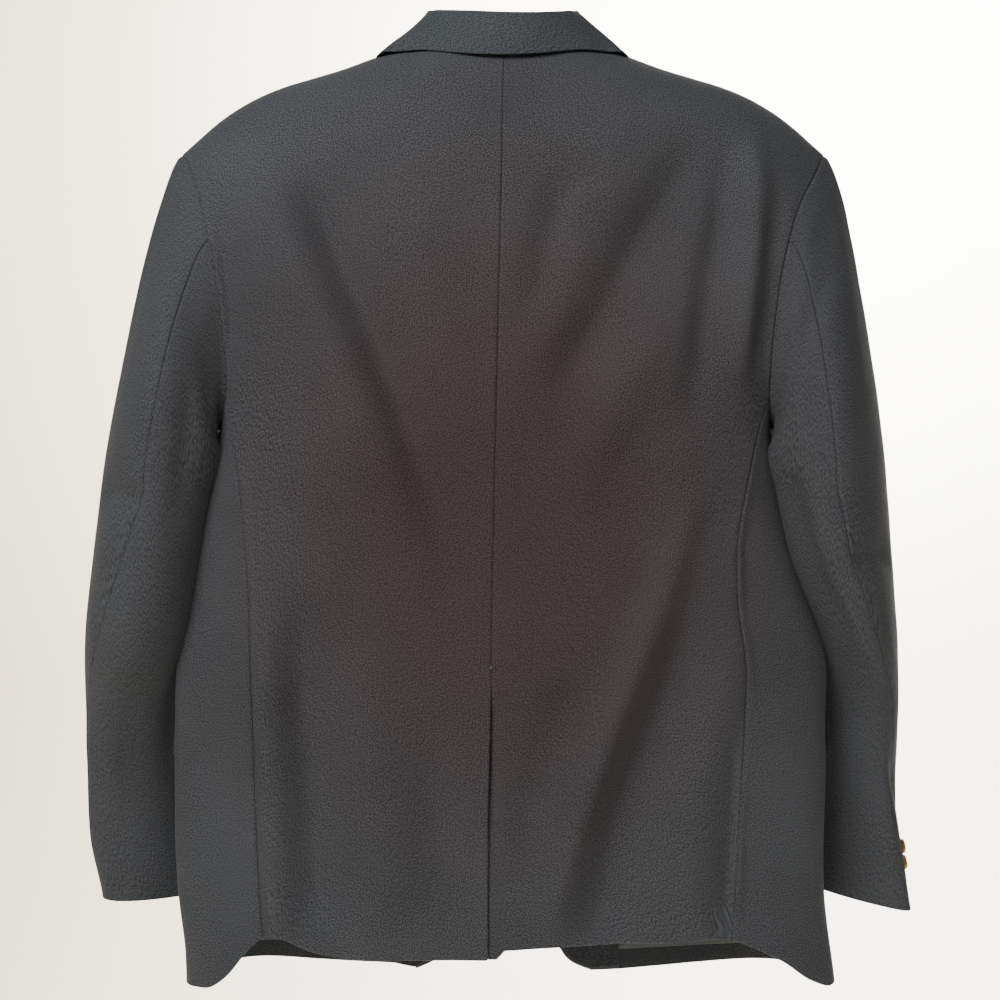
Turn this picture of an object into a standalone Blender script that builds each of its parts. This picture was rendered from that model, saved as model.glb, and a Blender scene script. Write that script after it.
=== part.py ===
"""Men's single-breasted blazer, filled out as if worn, with nothing inside it.

Every piece of cloth is a thin closed wall. The body pieces lie on one surface, which is worked out from
plan sections, and the sleeves are lofts from the armholes to the cuffs.
Metres. +Z is up, the front faces -Y, and the wearer's left side is +X. The origin is the middle of the neck.
"""
import bpy
import numpy as np
from mathutils import Vector


def table(names, rows):
    """Rows of numbers as named columns."""
    return dict(zip(names.split(), np.array(rows, float).T))


# Cloth and gaps
CLOTH = 0.0020          # outer cloth with its interlining
LINING = 0.0010         # facing and lining layers
COLLAR_CLOTH = 0.0016
SEAM_HALF = 0.00018     # each piece stops this short of its seam
LAYER_GAP = 0.0005      # between a button or an underlap and the cloth it lies on
INNER_GAP = 0.0014      # between a front and its facing or lining

# Body: half widths of the wearer's left and right, and depths of back and front, at each level
PLAN_POWER = 2.6        # 2 is an ellipse, and more is squarer
BODY = table("level left right back front", (
    (-0.800, 0.271, 0.288, 0.052, 0.060),
    (-0.735, 0.275, 0.279, 0.054, 0.064),
    (-0.660, 0.278, 0.2765, 0.056, 0.068),
    (-0.550, 0.279, 0.278, 0.058, 0.072),
    (-0.500, 0.278, 0.2765, 0.059, 0.073),
    (-0.450, 0.272, 0.262, 0.061, 0.075),
    (-0.400, 0.2625, 0.247, 0.063, 0.077),
    (-0.350, 0.252, 0.236, 0.065, 0.078),
    (-0.300, 0.243, 0.231, 0.067, 0.078),
    (-0.250, 0.245, 0.243, 0.068, 0.077),
    (-0.200, 0.261, 0.261, 0.069, 0.073),
    (-0.130, 0.288, 0.288, 0.068, 0.063),
    (-0.087, 0.303, 0.303, 0.067, 0.056),
    (0.040, 0.325, 0.325, 0.064, 0.048)))

# Shoulder line: its height at each distance from the middle
SHOULDER = table("across height", (
    (0.000, 0.0430), (0.053, 0.0356), (0.084, 0.0240), (0.111, 0.0146), (0.137, 0.0051), (0.163, -0.0028),
    (0.190, -0.0110), (0.216, -0.0223), (0.242, -0.0387), (0.269, -0.0619), (0.283, -0.0745),
    (0.316, -0.1120), (0.358, -0.1700)))
SHOULDER_POINT = 0.2775
NORMAL_BLEND = 0.030    # below the shoulder line, the wall's direction turns from upright within this
BACK_REACH = 0.120      # the back is at its full depth this far below the shoulder line
FRONT_REACH = 0.150

# Armhole: the angle round the hole, 0 at the shoulder and 90 at the back, and its turn round the body
ARMHOLE_TOP = -0.0695
ARMHOLE_BOTTOM = -0.305
ARMHOLE = table("angle left right", (
    (0, 61.5, 61.5), (30, 57.8, 58.3), (60, 56.8, 54.2), (90, 60.8, 56.9), (120, 70.2, 65.2),
    (143, 75.0, 73.0), (160, 81.0, 80.0), (180, 90.0, 90.0), (200, 105.0, 105.5), (217, 114.0, 114.5),
    (240, 119.5, 120.0), (270, 125.0, 125.0), (300, 127.0, 127.0), (330, 123.5, 123.5), (360, 118.5, 118.5)))
BACK_ANGLES = np.array((0, 6, 14, 26, 42, 57, 72, 90, 108, 126, 143), float)
SIDE_ANGLES = np.array((143, 151, 160, 170, 180, 190, 200, 209, 217), float)
FRONT_ANGLES = np.array((360, 354, 346, 334, 318, 303, 288, 270, 252, 234, 217), float)

# Seams below the armhole, and the hem: turn round the body from centre back, in degrees
SIDE_SEAMS = table("level back_left back_right front", (
    (-0.800, 41.0, 37.5, 121.0), (-0.735, 41.3, 38.0, 120.5), (-0.695, 41.9, 39.2, 120.0),
    (-0.613, 42.7, 40.5, 119.0), (-0.531, 43.6, 41.5, 118.0), (-0.446, 46.6, 43.5, 116.5),
    (-0.396, 51.3, 48.5, 115.5), (-0.350, 58.0, 57.0, 114.8), (-0.283, 75.0, 73.0, 114.2)))
SEAM_STEPS = np.array((0.05, 0.11, 0.19, 0.29, 0.42, 0.57, 0.72, 0.86, 1.0))
HEM = table("turn left right", (
    (0, -0.747, -0.740), (12, -0.748, -0.735), (25, -0.747, -0.733), (31, -0.741, -0.732),
    (37, -0.731, -0.733), (42, -0.733, -0.739), (47, -0.746, -0.746), (53, -0.764, -0.755),
    (60, -0.776, -0.768), (72, -0.780, -0.779), (90, -0.780, -0.779), (110, -0.778, -0.777),
    (130, -0.774, -0.776), (150, -0.780, -0.783), (165, -0.785, -0.790), (180, -0.790, -0.791)))

# Back neck, and the back seam, which leans as it hangs
NECK_HALF = 0.072
NECK_LOW = 0.0100
BACK_SEAM = table("level across", (
    (-0.760, 0.0130), (-0.620, 0.0125), (-0.500, 0.0098), (-0.250, 0.0045), (0.005, -0.0016)))
BACK_COLUMNS = np.array((0.0, 0.036, NECK_HALF, 0.118, 0.168, 0.224, SHOULDER_POINT))
VENT_TOP = -0.508
VENT_FOOT = -0.735
UNDERLAP_COLUMNS = np.array((-0.014, 0.0, 0.010, 0.024, 0.038))     # from the back seam, to the wearer's left

# Front edge: roll line down to the break, then the straight edge and the rounded corner
BREAK_LEVEL = -0.420
FRONT_EDGE = table("level across", (
    (-0.790, 0.0780), (-0.784, 0.0640), (-0.770, 0.0510), (-0.735, 0.0290), (-0.680, 0.0040),
    (-0.600, -0.0170), (-0.500, -0.0195), (-0.420, -0.0120)))
ROLL_ROWS = 13
FRONT_COLUMNS = np.array((SHOULDER_POINT, 0.244, 0.212, 0.182, 0.152, 0.124, 0.098, NECK_HALF))
FRONT_TUCK = 0.0100     # the right front passes this far inside the left
TUCK_FROM = -0.150
TUCK_TO = -0.010

# Sleeves: outer and inner reach at each level, the middle's place and half its depth from front to back,
# how far the back leans in to the body and the outer edge turns to the back, and the elbow seam's angle
SLEEVE_LEFT = table("level outer inner middle depth lean turn elbow", (
    (-0.72, 0.3590, 0.2500, -0.068, 0.036, 0.000, 0.018, 15.0),
    (-0.66, 0.3665, 0.2620, -0.065, 0.041, 0.000, 0.016, 20.0),
    (-0.60, 0.3685, 0.2770, -0.057, 0.048, 0.000, 0.012, 28.0),
    (-0.54, 0.3670, 0.2860, -0.037, 0.053, 0.000, 0.006, 40.0),
    (-0.48, 0.3630, 0.2790, -0.010, 0.058, 0.008, 0.000, 55.0),
    (-0.42, 0.3565, 0.2685, -0.004, 0.062, 0.014, 0.000, 66.0),
    (-0.36, 0.3480, 0.2560, -0.002, 0.064, 0.014, 0.000, 80.0)))
SLEEVE_RIGHT = table("level outer inner middle depth lean turn elbow", (
    (-0.72, 0.3630, 0.2540, -0.068, 0.036, 0.000, 0.018, 12.0),
    (-0.66, 0.3560, 0.2620, -0.065, 0.042, 0.000, 0.016, 18.0),
    (-0.60, 0.3505, 0.2760, -0.056, 0.049, 0.000, 0.012, 35.0),
    (-0.54, 0.3465, 0.2860, -0.036, 0.056, 0.000, 0.006, 56.0),
    (-0.48, 0.3420, 0.2775, -0.010, 0.062, 0.008, 0.000, 72.0),
    (-0.42, 0.3380, 0.2545, -0.004, 0.066, 0.014, 0.000, 79.0),
    (-0.36, 0.3330, 0.2400, -0.002, 0.066, 0.014, 0.000, 86.0)))
HEAD_STEPS = np.array((0.0, 0.08, 0.19, 0.33, 0.50, 0.74))   # rows from the armhole to the table's top level
CUFF_SLANT = {1: 0.002, -1: 0.012}      # the cuff's outer edge hangs this much lower
TOP_ANGLES = np.array((-72, -57, -42, -26, -14, -6, 0, 6, 14, 26, 42, 57, 72), float)
UNDER_ANGLES = np.array((72, 90, 108, 126, 143, 151, 160, 170, 180, 190, 200, 209, 217, 234, 252, 270, 288),
                        float)
HEAD_REACH = 0.040      # how far the sleeve head runs on from the shoulder before it falls
UNDERARM_REACH = 0.015
TANGENT_STEP = 7.0      # degrees either way for the armhole's direction

# Collar, from centre back to the gorge: its seam on the neck, its fold, and its outer edge on the body.
# The first five rows are on the back, and the rest on the front.
COLLAR = table("seam_across seam_height fold_across fold_out fold_height edge_across edge_height", (
    (0.0000, 0.0110, 0.0000, 0.0390, 0.0415, 0.000, 0.0020),
    (0.0240, 0.0125, 0.0260, 0.0370, 0.0430, 0.034, 0.0050),
    (0.0500, 0.0200, 0.0490, 0.0280, 0.0470, 0.066, 0.0130),
    (0.0620, 0.0248, 0.0595, 0.0190, 0.0500, 0.089, 0.0170),
    (0.0705, 0.0300, 0.0655, 0.0060, 0.0520, 0.106, 0.0160),
    (0.0690, 0.0120, 0.0665, -0.0130, 0.0360, 0.118, -0.0060),
    (0.0632, -0.0200, 0.0625, -0.0400, -0.0020, 0.130, -0.0440),
    (0.0562, -0.0545, 0.0560, -0.0545, -0.0480, 0.108, -0.0735)))
COLLAR_BACK_ROWS = 5
COLLAR_FOLD = 0.0032    # radius of the fold
COLLAR_SEAM = 0.0012    # the collar starts this far off the neck seam
COLLAR_FALL = (0.33, 0.67)      # rows between the fold and the outer edge, as shares of the way
COLLAR_EASE = (0.6, 0.5)        # how much of the fold's roundness is left at the second of them
# What lies on a panel: how far its outer face stands off the panel
LAPEL_LIFT = 0.0037
COLLAR_LIFT = 0.0044
LAPEL = table("roll_level edge_across edge_level", (
    (-0.058, 0.1460, -0.0900), (-0.110, 0.1380, -0.1300), (-0.185, 0.1200, -0.2000),
    (-0.265, 0.0920, -0.2750), (-0.335, 0.0580, -0.3400), (-0.388, 0.0220, -0.3900),
    (-0.414, -0.0060, -0.4170)))
POCKET = table("turn_back turn_front top bottom corner lift_top lift_middle lift_bottom", (
    (95.5, 156.0, -0.560, -0.747, 0.018, 0.0035, 0.0035, 0.0035),))
FLAP = table("turn_back turn_front top bottom corner lift_top lift_middle lift_bottom", (
    (94.5, 157.0, -0.542, -0.592, 0.010, 0.0036, 0.0063, 0.0092),))
POCKET_ROWS = np.array((0.0, 0.12, 0.30, 0.55, 0.80))
CORNER_ROWS = np.array((1.0, 0.62, 0.28, 0.08, 0.0))
POCKET_COLUMNS = 9
CURVE_SHARE = 1.04      # a pocket's width along the curve of the front over its straight width
FACING_EDGE = 0.105     # the facing reaches this far from the middle
FREE_EDGE = 0.0015      # inner layers stop this short of the cloth's edges
LINING_TOP = -0.330
LINING_HEM = 0.018      # the lining ends this far above the hem
LINING_START = -0.780   # level at which the hem beside the facing is read
LINING_TURN = 0.3       # degrees past the side seam

# Buttons, of brass: two on the front and two on each cuff
FRONT_BUTTONS = table("level radius height", ((-0.428, 0.0105, 0.0045), (-0.540, 0.0105, 0.0045)))
CUFF_BUTTONS = table("level radius height", ((-0.667, 0.0068, 0.0040), (-0.681, 0.0068, 0.0040)))
CUFF_BUTTON_ANGLE = {1: -30.0, -1: -3.0}     # the left cuff is turned further to the front
BUTTON_EDGE = 0.0011


def through(at, known, values):
    """A smooth curve through known values, with the slope of its neighbours at each one."""
    slope = np.gradient(values, known)
    at = np.clip(at, known[0], known[-1])
    i = np.clip(np.searchsorted(known, at) - 1, 0, len(known) - 2)
    span = known[i + 1] - known[i]
    t = (at - known[i]) / span
    return ((1 + 2 * t) * (1 - t) ** 2 * values[i] + t * (1 - t) ** 2 * span * slope[i]
            + t * t * (3 - 2 * t) * values[i + 1] + t * t * (t - 1) * span * slope[i + 1])


def smooth(share):
    share = np.clip(share, 0, 1)
    return share * share * (3 - 2 * share)


def side_name(side):
    return "left" if side > 0 else "right"


def ridge(across):
    return through(np.abs(across), SHOULDER["across"], SHOULDER["height"])


def half_width(level, left):
    wide = BODY["level"]
    return np.where(left, through(level, wide, BODY["left"]), through(level, wide, BODY["right"]))


def body(turn, level):
    """The body's surface at a turn in radians from centre back, the wearer's left being positive."""
    sine, cosine = np.sin(turn), np.cos(turn)
    power = 2 / PLAN_POWER
    across = half_width(level, sine >= 0) * np.sign(sine) * np.abs(sine) ** power
    reach = np.where(cosine >= 0, BACK_REACH, FRONT_REACH)
    below = np.clip((ridge(across) - level) / reach, 0, 1)
    cover = (1 - (1 - below) ** 2) ** 0.625
    depth = np.where(cosine >= 0, through(level, BODY["level"], BODY["back"]),
                     through(level, BODY["level"], BODY["front"]))
    out = depth * np.sign(cosine) * np.abs(cosine) ** power * cover
    return np.stack([across, out, level + 0 * out], -1)


def unit(vectors):
    return vectors / np.maximum(np.linalg.norm(vectors, axis=-1, keepdims=True), 1e-12)


def body_normal(turn, level):
    """Outward direction of the body's surface; on the shoulder line it leans to neither side."""
    step_turn, step_level, step_across = 0.004, 0.0008, 0.002
    points = body(turn, level)
    along = body(turn + step_turn, level) - body(turn - step_turn, level)
    down = body(turn, level - step_level) - body(turn, level + step_level)
    normal = unit(np.cross(down, along))
    outward = points * (1, 1, 0) + (0, 0, 0.05)
    normal *= np.where((normal * outward).sum(-1, keepdims=True) < 0, -1, 1)
    across = points[..., 0]
    slope = (ridge(across + step_across) - ridge(across - step_across)) / (2 * step_across)
    upright = unit(np.stack([-slope, 0 * slope, 1 + 0 * slope], -1))
    share = smooth((ridge(across) - level) / NORMAL_BLEND)[..., None]
    return unit(normal * share + upright * (1 - share))


def back_turn(across, level):
    share = np.clip(np.abs(across) / half_width(level, across >= 0), 0, 1)
    return np.sign(across) * np.arcsin(share ** (PLAN_POWER / 2))


def front_turn(side, across, level):
    """Turn on the front; across is positive on the side's own half."""
    share = np.clip(np.abs(across) / half_width(level, side * across >= 0), 0, 1)
    return side * (np.pi - np.sign(across) * np.arcsin(share ** (PLAN_POWER / 2)))


def skin(turn, level, out=0.0, tuck=0.0):
    """Points on the body's surface, moved out along its normal; tuck takes the right front inwards."""
    across = body(turn, level)[..., 0]
    out = out - tuck * smooth((across - TUCK_FROM) / (TUCK_TO - TUCK_FROM))
    return body(turn, level) + body_normal(turn, level) * np.asarray(out)[..., None]


def armhole(side, angle):
    """Turn and level of the armhole at an angle in degrees."""
    middle, half = (ARMHOLE_TOP + ARMHOLE_BOTTOM) / 2, (ARMHOLE_TOP - ARMHOLE_BOTTOM) / 2
    turn = np.radians(through(angle, ARMHOLE["angle"], ARMHOLE[side_name(side)]))
    return np.stack([side * turn, middle + half * np.cos(np.radians(angle))], -1)


def hem_level(turn):
    degrees = np.degrees(np.abs(turn))
    return np.where(np.sin(turn) >= 0, through(degrees, HEM["turn"], HEM["left"]),
                    through(degrees, HEM["turn"], HEM["right"]))


def seam(side, where):
    """A side seam below the armhole, as turn and level, down to the hem."""
    column = "front" if where == "front" else "back_" + side_name(side)
    start = armhole(side, 217.0 if where == "front" else 143.0)
    foot = side * np.radians(SIDE_SEAMS[column][1])
    level = start[1] + SEAM_STEPS * (hem_level(foot) - start[1])
    turn = side * np.radians(through(level, SIDE_SEAMS["level"], SIDE_SEAMS[column]))
    return np.stack([turn, level], -1)


def patch(first, last, top, bottom):
    """A grid of turns and levels from its four edges: first and last run down, top and bottom across."""
    down = np.linspace(0, 1, len(first))[:, None, None]
    across = np.linspace(0, 1, len(top))[None, :, None]
    ruled = (1 - across) * first[:, None] + across * last[:, None]
    lofted = (1 - down) * top[None] + down * bottom[None]
    corners = ((1 - down) * ((1 - across) * top[0] + across * top[-1])
               + down * ((1 - across) * bottom[0] + across * bottom[-1]))
    grid = ruled + lofted - corners
    return grid[..., 0], grid[..., 1]


def drawn_in(edge, neighbour):
    """How far an edge moves off its seam, square to the seam and within the cloth."""
    along = unit(np.gradient(edge, axis=0))
    inward = neighbour - edge
    return unit(inward - along * (inward * along).sum(-1, keepdims=True)) * SEAM_HALF


def trimmed(grid):
    """The grid with its four edges drawn in by half a seam gap."""
    trim = grid.copy()
    trim[0] += drawn_in(grid[0], grid[1])
    trim[-1] += drawn_in(grid[-1], grid[-2])
    trim[:, 0] += drawn_in(grid[:, 0], grid[:, 1])
    trim[:, -1] += drawn_in(grid[:, -1], grid[:, -2])
    return trim


def wall(name, outer, inner, material):
    """A closed wall between two grids of points that match row by row."""
    rows, columns = outer.shape[:2]
    index = np.arange(rows * columns).reshape(rows, columns)
    quads = np.stack([index[:-1, :-1], index[1:, :-1], index[1:, 1:], index[:-1, 1:]], -1).reshape(-1, 4)
    rim = np.concatenate([index[0, :-1], index[:-1, -1], index[-1, :0:-1], index[:0:-1, 0]])
    ahead = np.roll(rim, -1)
    second = rows * columns
    faces = np.concatenate([quads, quads[:, ::-1] + second,
                            np.stack([rim, ahead, ahead + second, rim + second], -1)])
    points = np.concatenate([outer.reshape(-1, 3), inner.reshape(-1, 3)])
    corner = points[faces]
    volume = (np.cross(corner[:, 0], corner[:, 1]) * corner[:, 2]).sum()
    volume += (np.cross(corner[:, 0], corner[:, 2]) * corner[:, 3]).sum()
    if volume < 0:
        faces = faces[:, ::-1]
    mesh = bpy.data.meshes.new(name)
    mesh.from_pydata(points.tolist(), [], faces.tolist())
    mesh.shade_smooth()
    mesh.set_sharp_from_angle(angle=np.radians(50))
    return add(name, mesh, material)


def add(name, mesh, material):
    """A named object of a mesh and its material, in the garment's collection."""
    thing = bpy.data.objects.new(name, mesh)
    mesh.materials.append(material)
    garment.objects.link(thing)
    return thing


def finish(name, colour, roughness, metallic=0.0):
    """A Principled material of one colour, given as linear red, green and blue."""
    material = bpy.data.materials.new(name)
    material.use_nodes = True
    shader = material.node_tree.nodes["Principled BSDF"]
    shader.inputs["Base Color"].default_value = (*colour, 1)
    shader.inputs["Roughness"].default_value = roughness
    shader.inputs["Metallic"].default_value = metallic
    return material


def body_panel(name, turn, level, tuck=0.0):
    """A wall of cloth whose outer face is the body's surface."""
    outer, inner = skin(turn, level, 0.0, tuck), skin(turn, level, -CLOTH, tuck)
    return wall(name, trimmed(outer), trimmed(inner), wool)


def back(side):
    """Half of the back, from the back seam to the armhole and the side seam."""
    outer_edge = np.concatenate([armhole(side, BACK_ANGLES), seam(side, "back")])
    across = side * BACK_COLUMNS
    height = ridge(across)
    neck = np.clip(np.abs(across) / NECK_HALF, 0, 1)
    height = np.where(neck < 1, NECK_LOW + (ridge(NECK_HALF) - NECK_LOW) * neck ** 2, height)
    top = np.stack([back_turn(across, height), height], -1)
    top[-1] = outer_edge[0]
    foot = hem_level(side * 1e-6)
    down = (outer_edge[:, 1] - outer_edge[0, 1]) / (outer_edge[-1, 1] - outer_edge[0, 1])
    centre_level = NECK_LOW + down * (foot - NECK_LOW)
    centre = np.stack([back_turn(through(centre_level, BACK_SEAM["level"], BACK_SEAM["across"]),
                                 centre_level), centre_level], -1)
    top[0] = centre[0]
    share = np.linspace(0, 1, len(top))
    foot_turn = centre[-1, 0] + share * (outer_edge[-1, 0] - centre[-1, 0])
    bottom = np.stack([foot_turn, hem_level(foot_turn)], -1)
    bottom[0], bottom[-1] = centre[-1], outer_edge[-1]
    turn, level = patch(centre, outer_edge, top, bottom)
    return body_panel("back_" + side_name(side), turn, level)


def side_panel(side):
    """The narrow panel under the arm, between the back and front seams."""
    top = armhole(side, SIDE_ANGLES)
    first = np.concatenate([top[:1], seam(side, "back")])
    last = np.concatenate([top[-1:], seam(side, "front")])
    foot_turn = np.linspace(first[-1, 0], last[-1, 0], len(top))
    bottom = np.stack([foot_turn, hem_level(foot_turn)], -1)
    bottom[0], bottom[-1] = first[-1], last[-1]
    turn, level = patch(first, last, top, bottom)
    return body_panel("side_" + side_name(side), turn, level)


def front_edge(side):
    """The roll line and the front edge, as turn and level."""
    share = np.linspace(0, 1, ROLL_ROWS)
    roll_level = ridge(NECK_HALF) + share * (BREAK_LEVEL - ridge(NECK_HALF))
    roll = NECK_HALF + share * (FRONT_EDGE["across"][-1] - NECK_HALF)
    edge_level, edge_across = FRONT_EDGE["level"][-2::-1], FRONT_EDGE["across"][-2::-1]
    level = np.concatenate([roll_level, edge_level])
    across = np.concatenate([roll, edge_across])
    return np.stack([front_turn(side, across, level), level], -1)


def front(side):
    """One front, from the armhole and side seam to the roll line and the front edge."""
    first = np.concatenate([armhole(side, FRONT_ANGLES), seam(side, "front")])
    last = front_edge(side)
    height = ridge(FRONT_COLUMNS)
    top = np.stack([front_turn(side, FRONT_COLUMNS, height), height], -1)
    top[0], top[-1] = first[0], last[0]
    foot_turn = np.linspace(first[-1, 0], last[-1, 0], len(top))
    bottom = np.stack([foot_turn, hem_level(foot_turn)], -1)
    bottom[0], bottom[-1] = first[-1], last[-1]
    turn, level = patch(first, last, top, bottom)
    return body_panel("front_" + side_name(side), turn, level, FRONT_TUCK * (side < 0))


def tube(side, angle, level):
    """The sleeve below its head: an ellipse at each level, round an angle in degrees."""
    sizes = SLEEVE_LEFT if side > 0 else SLEEVE_RIGHT
    size = {name: through(level, sizes["level"], column) for name, column in sizes.items()}
    cosine, sine = np.cos(np.radians(angle)), np.sin(np.radians(angle))
    foot = smooth((sizes["level"][-1] - level) / (sizes["level"][-1] - sizes["level"][0]))
    across = (size["outer"] + size["inner"]) / 2 + (size["outer"] - size["inner"]) / 2 * cosine
    across = across - size["lean"] * sine
    out = size["middle"] + size["turn"] * cosine + size["depth"] * sine
    return np.stack([side * across, out, level - CUFF_SLANT[side] * foot * cosine], -1)


def sleeve_angles(angle, elbow):
    """Angles moved round so that the column from the armhole's elbow point follows the elbow seam."""
    first, last = TOP_ANGLES[[0, -1]]
    on_top = first + (angle - first) * (elbow - first) / (last - first)
    below = elbow + (angle - last) * (first + 360 - elbow) / (first + 360 - last)
    return np.where(angle <= last, on_top, below)


def sleeve_head(side, angle, step, elbow):
    """From the armhole to the tube's top, on a curve that leaves the body outwards and ends downwards."""
    turn, level = np.moveaxis(armhole(side, angle % 360), -1, 0)
    start, normal = body(turn, level), body_normal(turn, level)
    ahead = body(*np.moveaxis(armhole(side, (angle + TANGENT_STEP) % 360), -1, 0))
    behind = body(*np.moveaxis(armhole(side, (angle - TANGENT_STEP) % 360), -1, 0))
    away = unit(np.cross(unit(ahead - behind), normal)) * side
    share = np.cos(np.radians(angle))[..., None]
    leave = away * HEAD_REACH * (1 + share) + normal * UNDERARM_REACH * (1 - share)
    sizes = SLEEVE_LEFT if side > 0 else SLEEVE_RIGHT
    top = sizes["level"][-1] + 0 * angle
    moved = sleeve_angles(angle, elbow)
    end = tube(side, moved, top)
    fall = unit(tube(side, moved, top - 0.02) - end) * np.linalg.norm(end - start, axis=-1, keepdims=True)
    return ((1 + 2 * step) * (1 - step) ** 2 * start + step * (1 - step) ** 2 * leave
            + step * step * (3 - 2 * step) * end + step * step * (step - 1) * fall)


def sleeve_rows(side, angle):
    """Rows of points from the armhole to the cuff, one for each step of the head and level of the table."""
    sizes = SLEEVE_LEFT if side > 0 else SLEEVE_RIGHT
    rows = []
    for step in HEAD_STEPS:
        elbow = TOP_ANGLES[-1] + step * (sizes["elbow"][-1] - TOP_ANGLES[-1])
        rows.append(sleeve_head(side, angle, step, elbow))
    for level, elbow in zip(sizes["level"][::-1], sizes["elbow"][::-1]):
        rows.append(tube(side, sleeve_angles(angle, elbow), level + 0 * angle))
    return np.array(rows)


def sleeve(side):
    """Top sleeve and under sleeve; their walls share one set of normals, so they meet along their seams."""
    ring = np.concatenate([TOP_ANGLES, UNDER_ANGLES[1:]])
    outer = sleeve_rows(side, ring)
    closed = np.concatenate([outer[:, -2:-1], outer, outer[:, 1:2]], 1)
    across = np.gradient(closed, axis=1)[:, 1:-1]
    down = np.gradient(outer, axis=0)
    normal = unit(np.cross(down, across)) * side
    normal[0] = body_normal(*np.moveaxis(armhole(side, ring % 360), -1, 0))
    inner = outer - normal * CLOTH
    elbow = len(TOP_ANGLES) - 1
    for name, columns in (("top_sleeve_", slice(0, elbow + 1)), ("under_sleeve_", slice(elbow, None))):
        wall(name + side_name(side), trimmed(outer[:, columns]), trimmed(inner[:, columns]), wool)


def on_front(side, across, level, out=0.0):
    """Points over a front, across being positive on its own half."""
    return skin(front_turn(side, across, level), level, out, FRONT_TUCK * (side < 0))


def vent_underlap():
    """The strip under both vent edges, sewn to the right half of the back."""
    level = np.linspace(VENT_TOP, VENT_FOOT, 6)[:, None]
    middle = through(level, BACK_SEAM["level"], BACK_SEAM["across"])
    across = middle + UNDERLAP_COLUMNS[None]
    level = level + 0 * across
    turn = back_turn(across, level)
    outer = skin(turn, level, -CLOTH - LAYER_GAP)
    wall("vent_underlap", outer, skin(turn, level, -CLOTH - LAYER_GAP - LINING), wool)


def roll_across(level):
    """How far the roll line is from the middle."""
    share = (ridge(NECK_HALF) - level) / (ridge(NECK_HALF) - BREAK_LEVEL)
    return NECK_HALF + share * (FRONT_EDGE["across"][-1] - NECK_HALF)


def lapel(side):
    """The turned-back lapel, from the roll line to its edge, lying on the front."""
    share = np.linspace(0, 1, 5)[None, :]
    roll_level, edge_level = LAPEL["roll_level"][:, None], LAPEL["edge_level"][:, None]
    level = roll_level + (edge_level - roll_level) * share
    roll = roll_across(roll_level) + SEAM_HALF
    across = roll + (LAPEL["edge_across"][:, None] - roll) * share
    wall("lapel_" + side_name(side), on_front(side, across, level, LAPEL_LIFT),
         on_front(side, across, level, LAPEL_LIFT - CLOTH), wool)


def on_half(side, row, across, level, out):
    """A point under the collar's row, on the back or on the front."""
    turn = back_turn(side * across, level) if row < COLLAR_BACK_ROWS else front_turn(side, across, level)
    return skin(turn, level, out)


def collar_half(side):
    """Rows of points round the collar's section, from its neck seam over the fold to its outer edge."""
    rows = []
    for row in range(len(COLLAR["seam_across"])):
        size = {name: column[row] for name, column in COLLAR.items()}
        low = on_half(side, row, size["seam_across"], size["seam_height"], COLLAR_SEAM)
        edge = on_half(side, row, size["edge_across"], size["edge_height"], COLLAR_LIFT)
        fold = np.array((side * size["fold_across"], size["fold_out"], size["fold_height"]))
        outward = unit(fold * (1, 1, 0)) * COLLAR_FOLD
        under = np.array((0, 0, -COLLAR_FOLD))
        fall = edge - fold
        rows.append([low, (low + fold - outward + under) / 2, fold - outward + under, fold,
                     fold + outward + under, fold + outward + under + fall * COLLAR_FALL[0],
                     fold + outward * COLLAR_EASE[0] + under * COLLAR_EASE[1] + fall * COLLAR_FALL[1], edge])
    return np.array(rows)


def collar():
    """One folded strip round the neck, from gorge to gorge."""
    left, right = collar_half(1), collar_half(-1)
    outer = np.concatenate([right[:0:-1], left])
    down, across = np.gradient(outer, axis=0), np.gradient(outer, axis=1)
    normal = unit(np.cross(down, across))
    away = (outer[:, 3] - outer[:, 2])[:, None]
    normal *= np.sign((normal[:, 3:4] * away).sum(-1, keepdims=True))
    return wall("collar", outer, outer - normal * COLLAR_CLOTH, wool)


def patch_pocket(side, name, sizes):
    """A flat piece on the front with rounded lower corners; its lower edge may stand off further."""
    size = {key: column[0] for key, column in sizes.items()}
    reach = np.radians((size["turn_back"], size["turn_front"]))
    ends = body(side * reach, np.full(2, size["bottom"]))
    width = np.linalg.norm(ends[1] - ends[0]) * CURVE_SHARE
    depth = size["top"] - size["bottom"]
    corner = size["corner"] / depth
    share = np.concatenate([POCKET_ROWS * (1 - corner), 1 - corner * CORNER_ROWS])
    past = np.clip((share - 1 + corner) / corner, 0, 1)
    inset = size["corner"] * (1 - np.sqrt(1 - past ** 2)) / width
    across = np.linspace(0, 1, POCKET_COLUMNS)
    spread = inset[:, None] + (1 - 2 * inset[:, None]) * across[None]
    turn = side * (reach[0] + (reach[1] - reach[0]) * spread)
    level = (size["top"] - depth * share)[:, None] + 0 * turn
    lifts = size["lift_top"], size["lift_middle"], size["lift_bottom"]
    lift = np.interp(share, (0, POCKET_ROWS[2], 1), lifts)[:, None]
    return wall(name + side_name(side), skin(turn, level, lift), skin(turn, level, lift - CLOTH), wool)


def inner_layer(name, turn, level, side, material):
    """A thin layer inside a front."""
    tuck = FRONT_TUCK * (side < 0)
    depth = CLOTH + INNER_GAP
    outer, inner = skin(turn, level, -depth, tuck), skin(turn, level, -depth - LINING, tuck)
    return wall(name + side_name(side), outer, inner, material)


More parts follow.
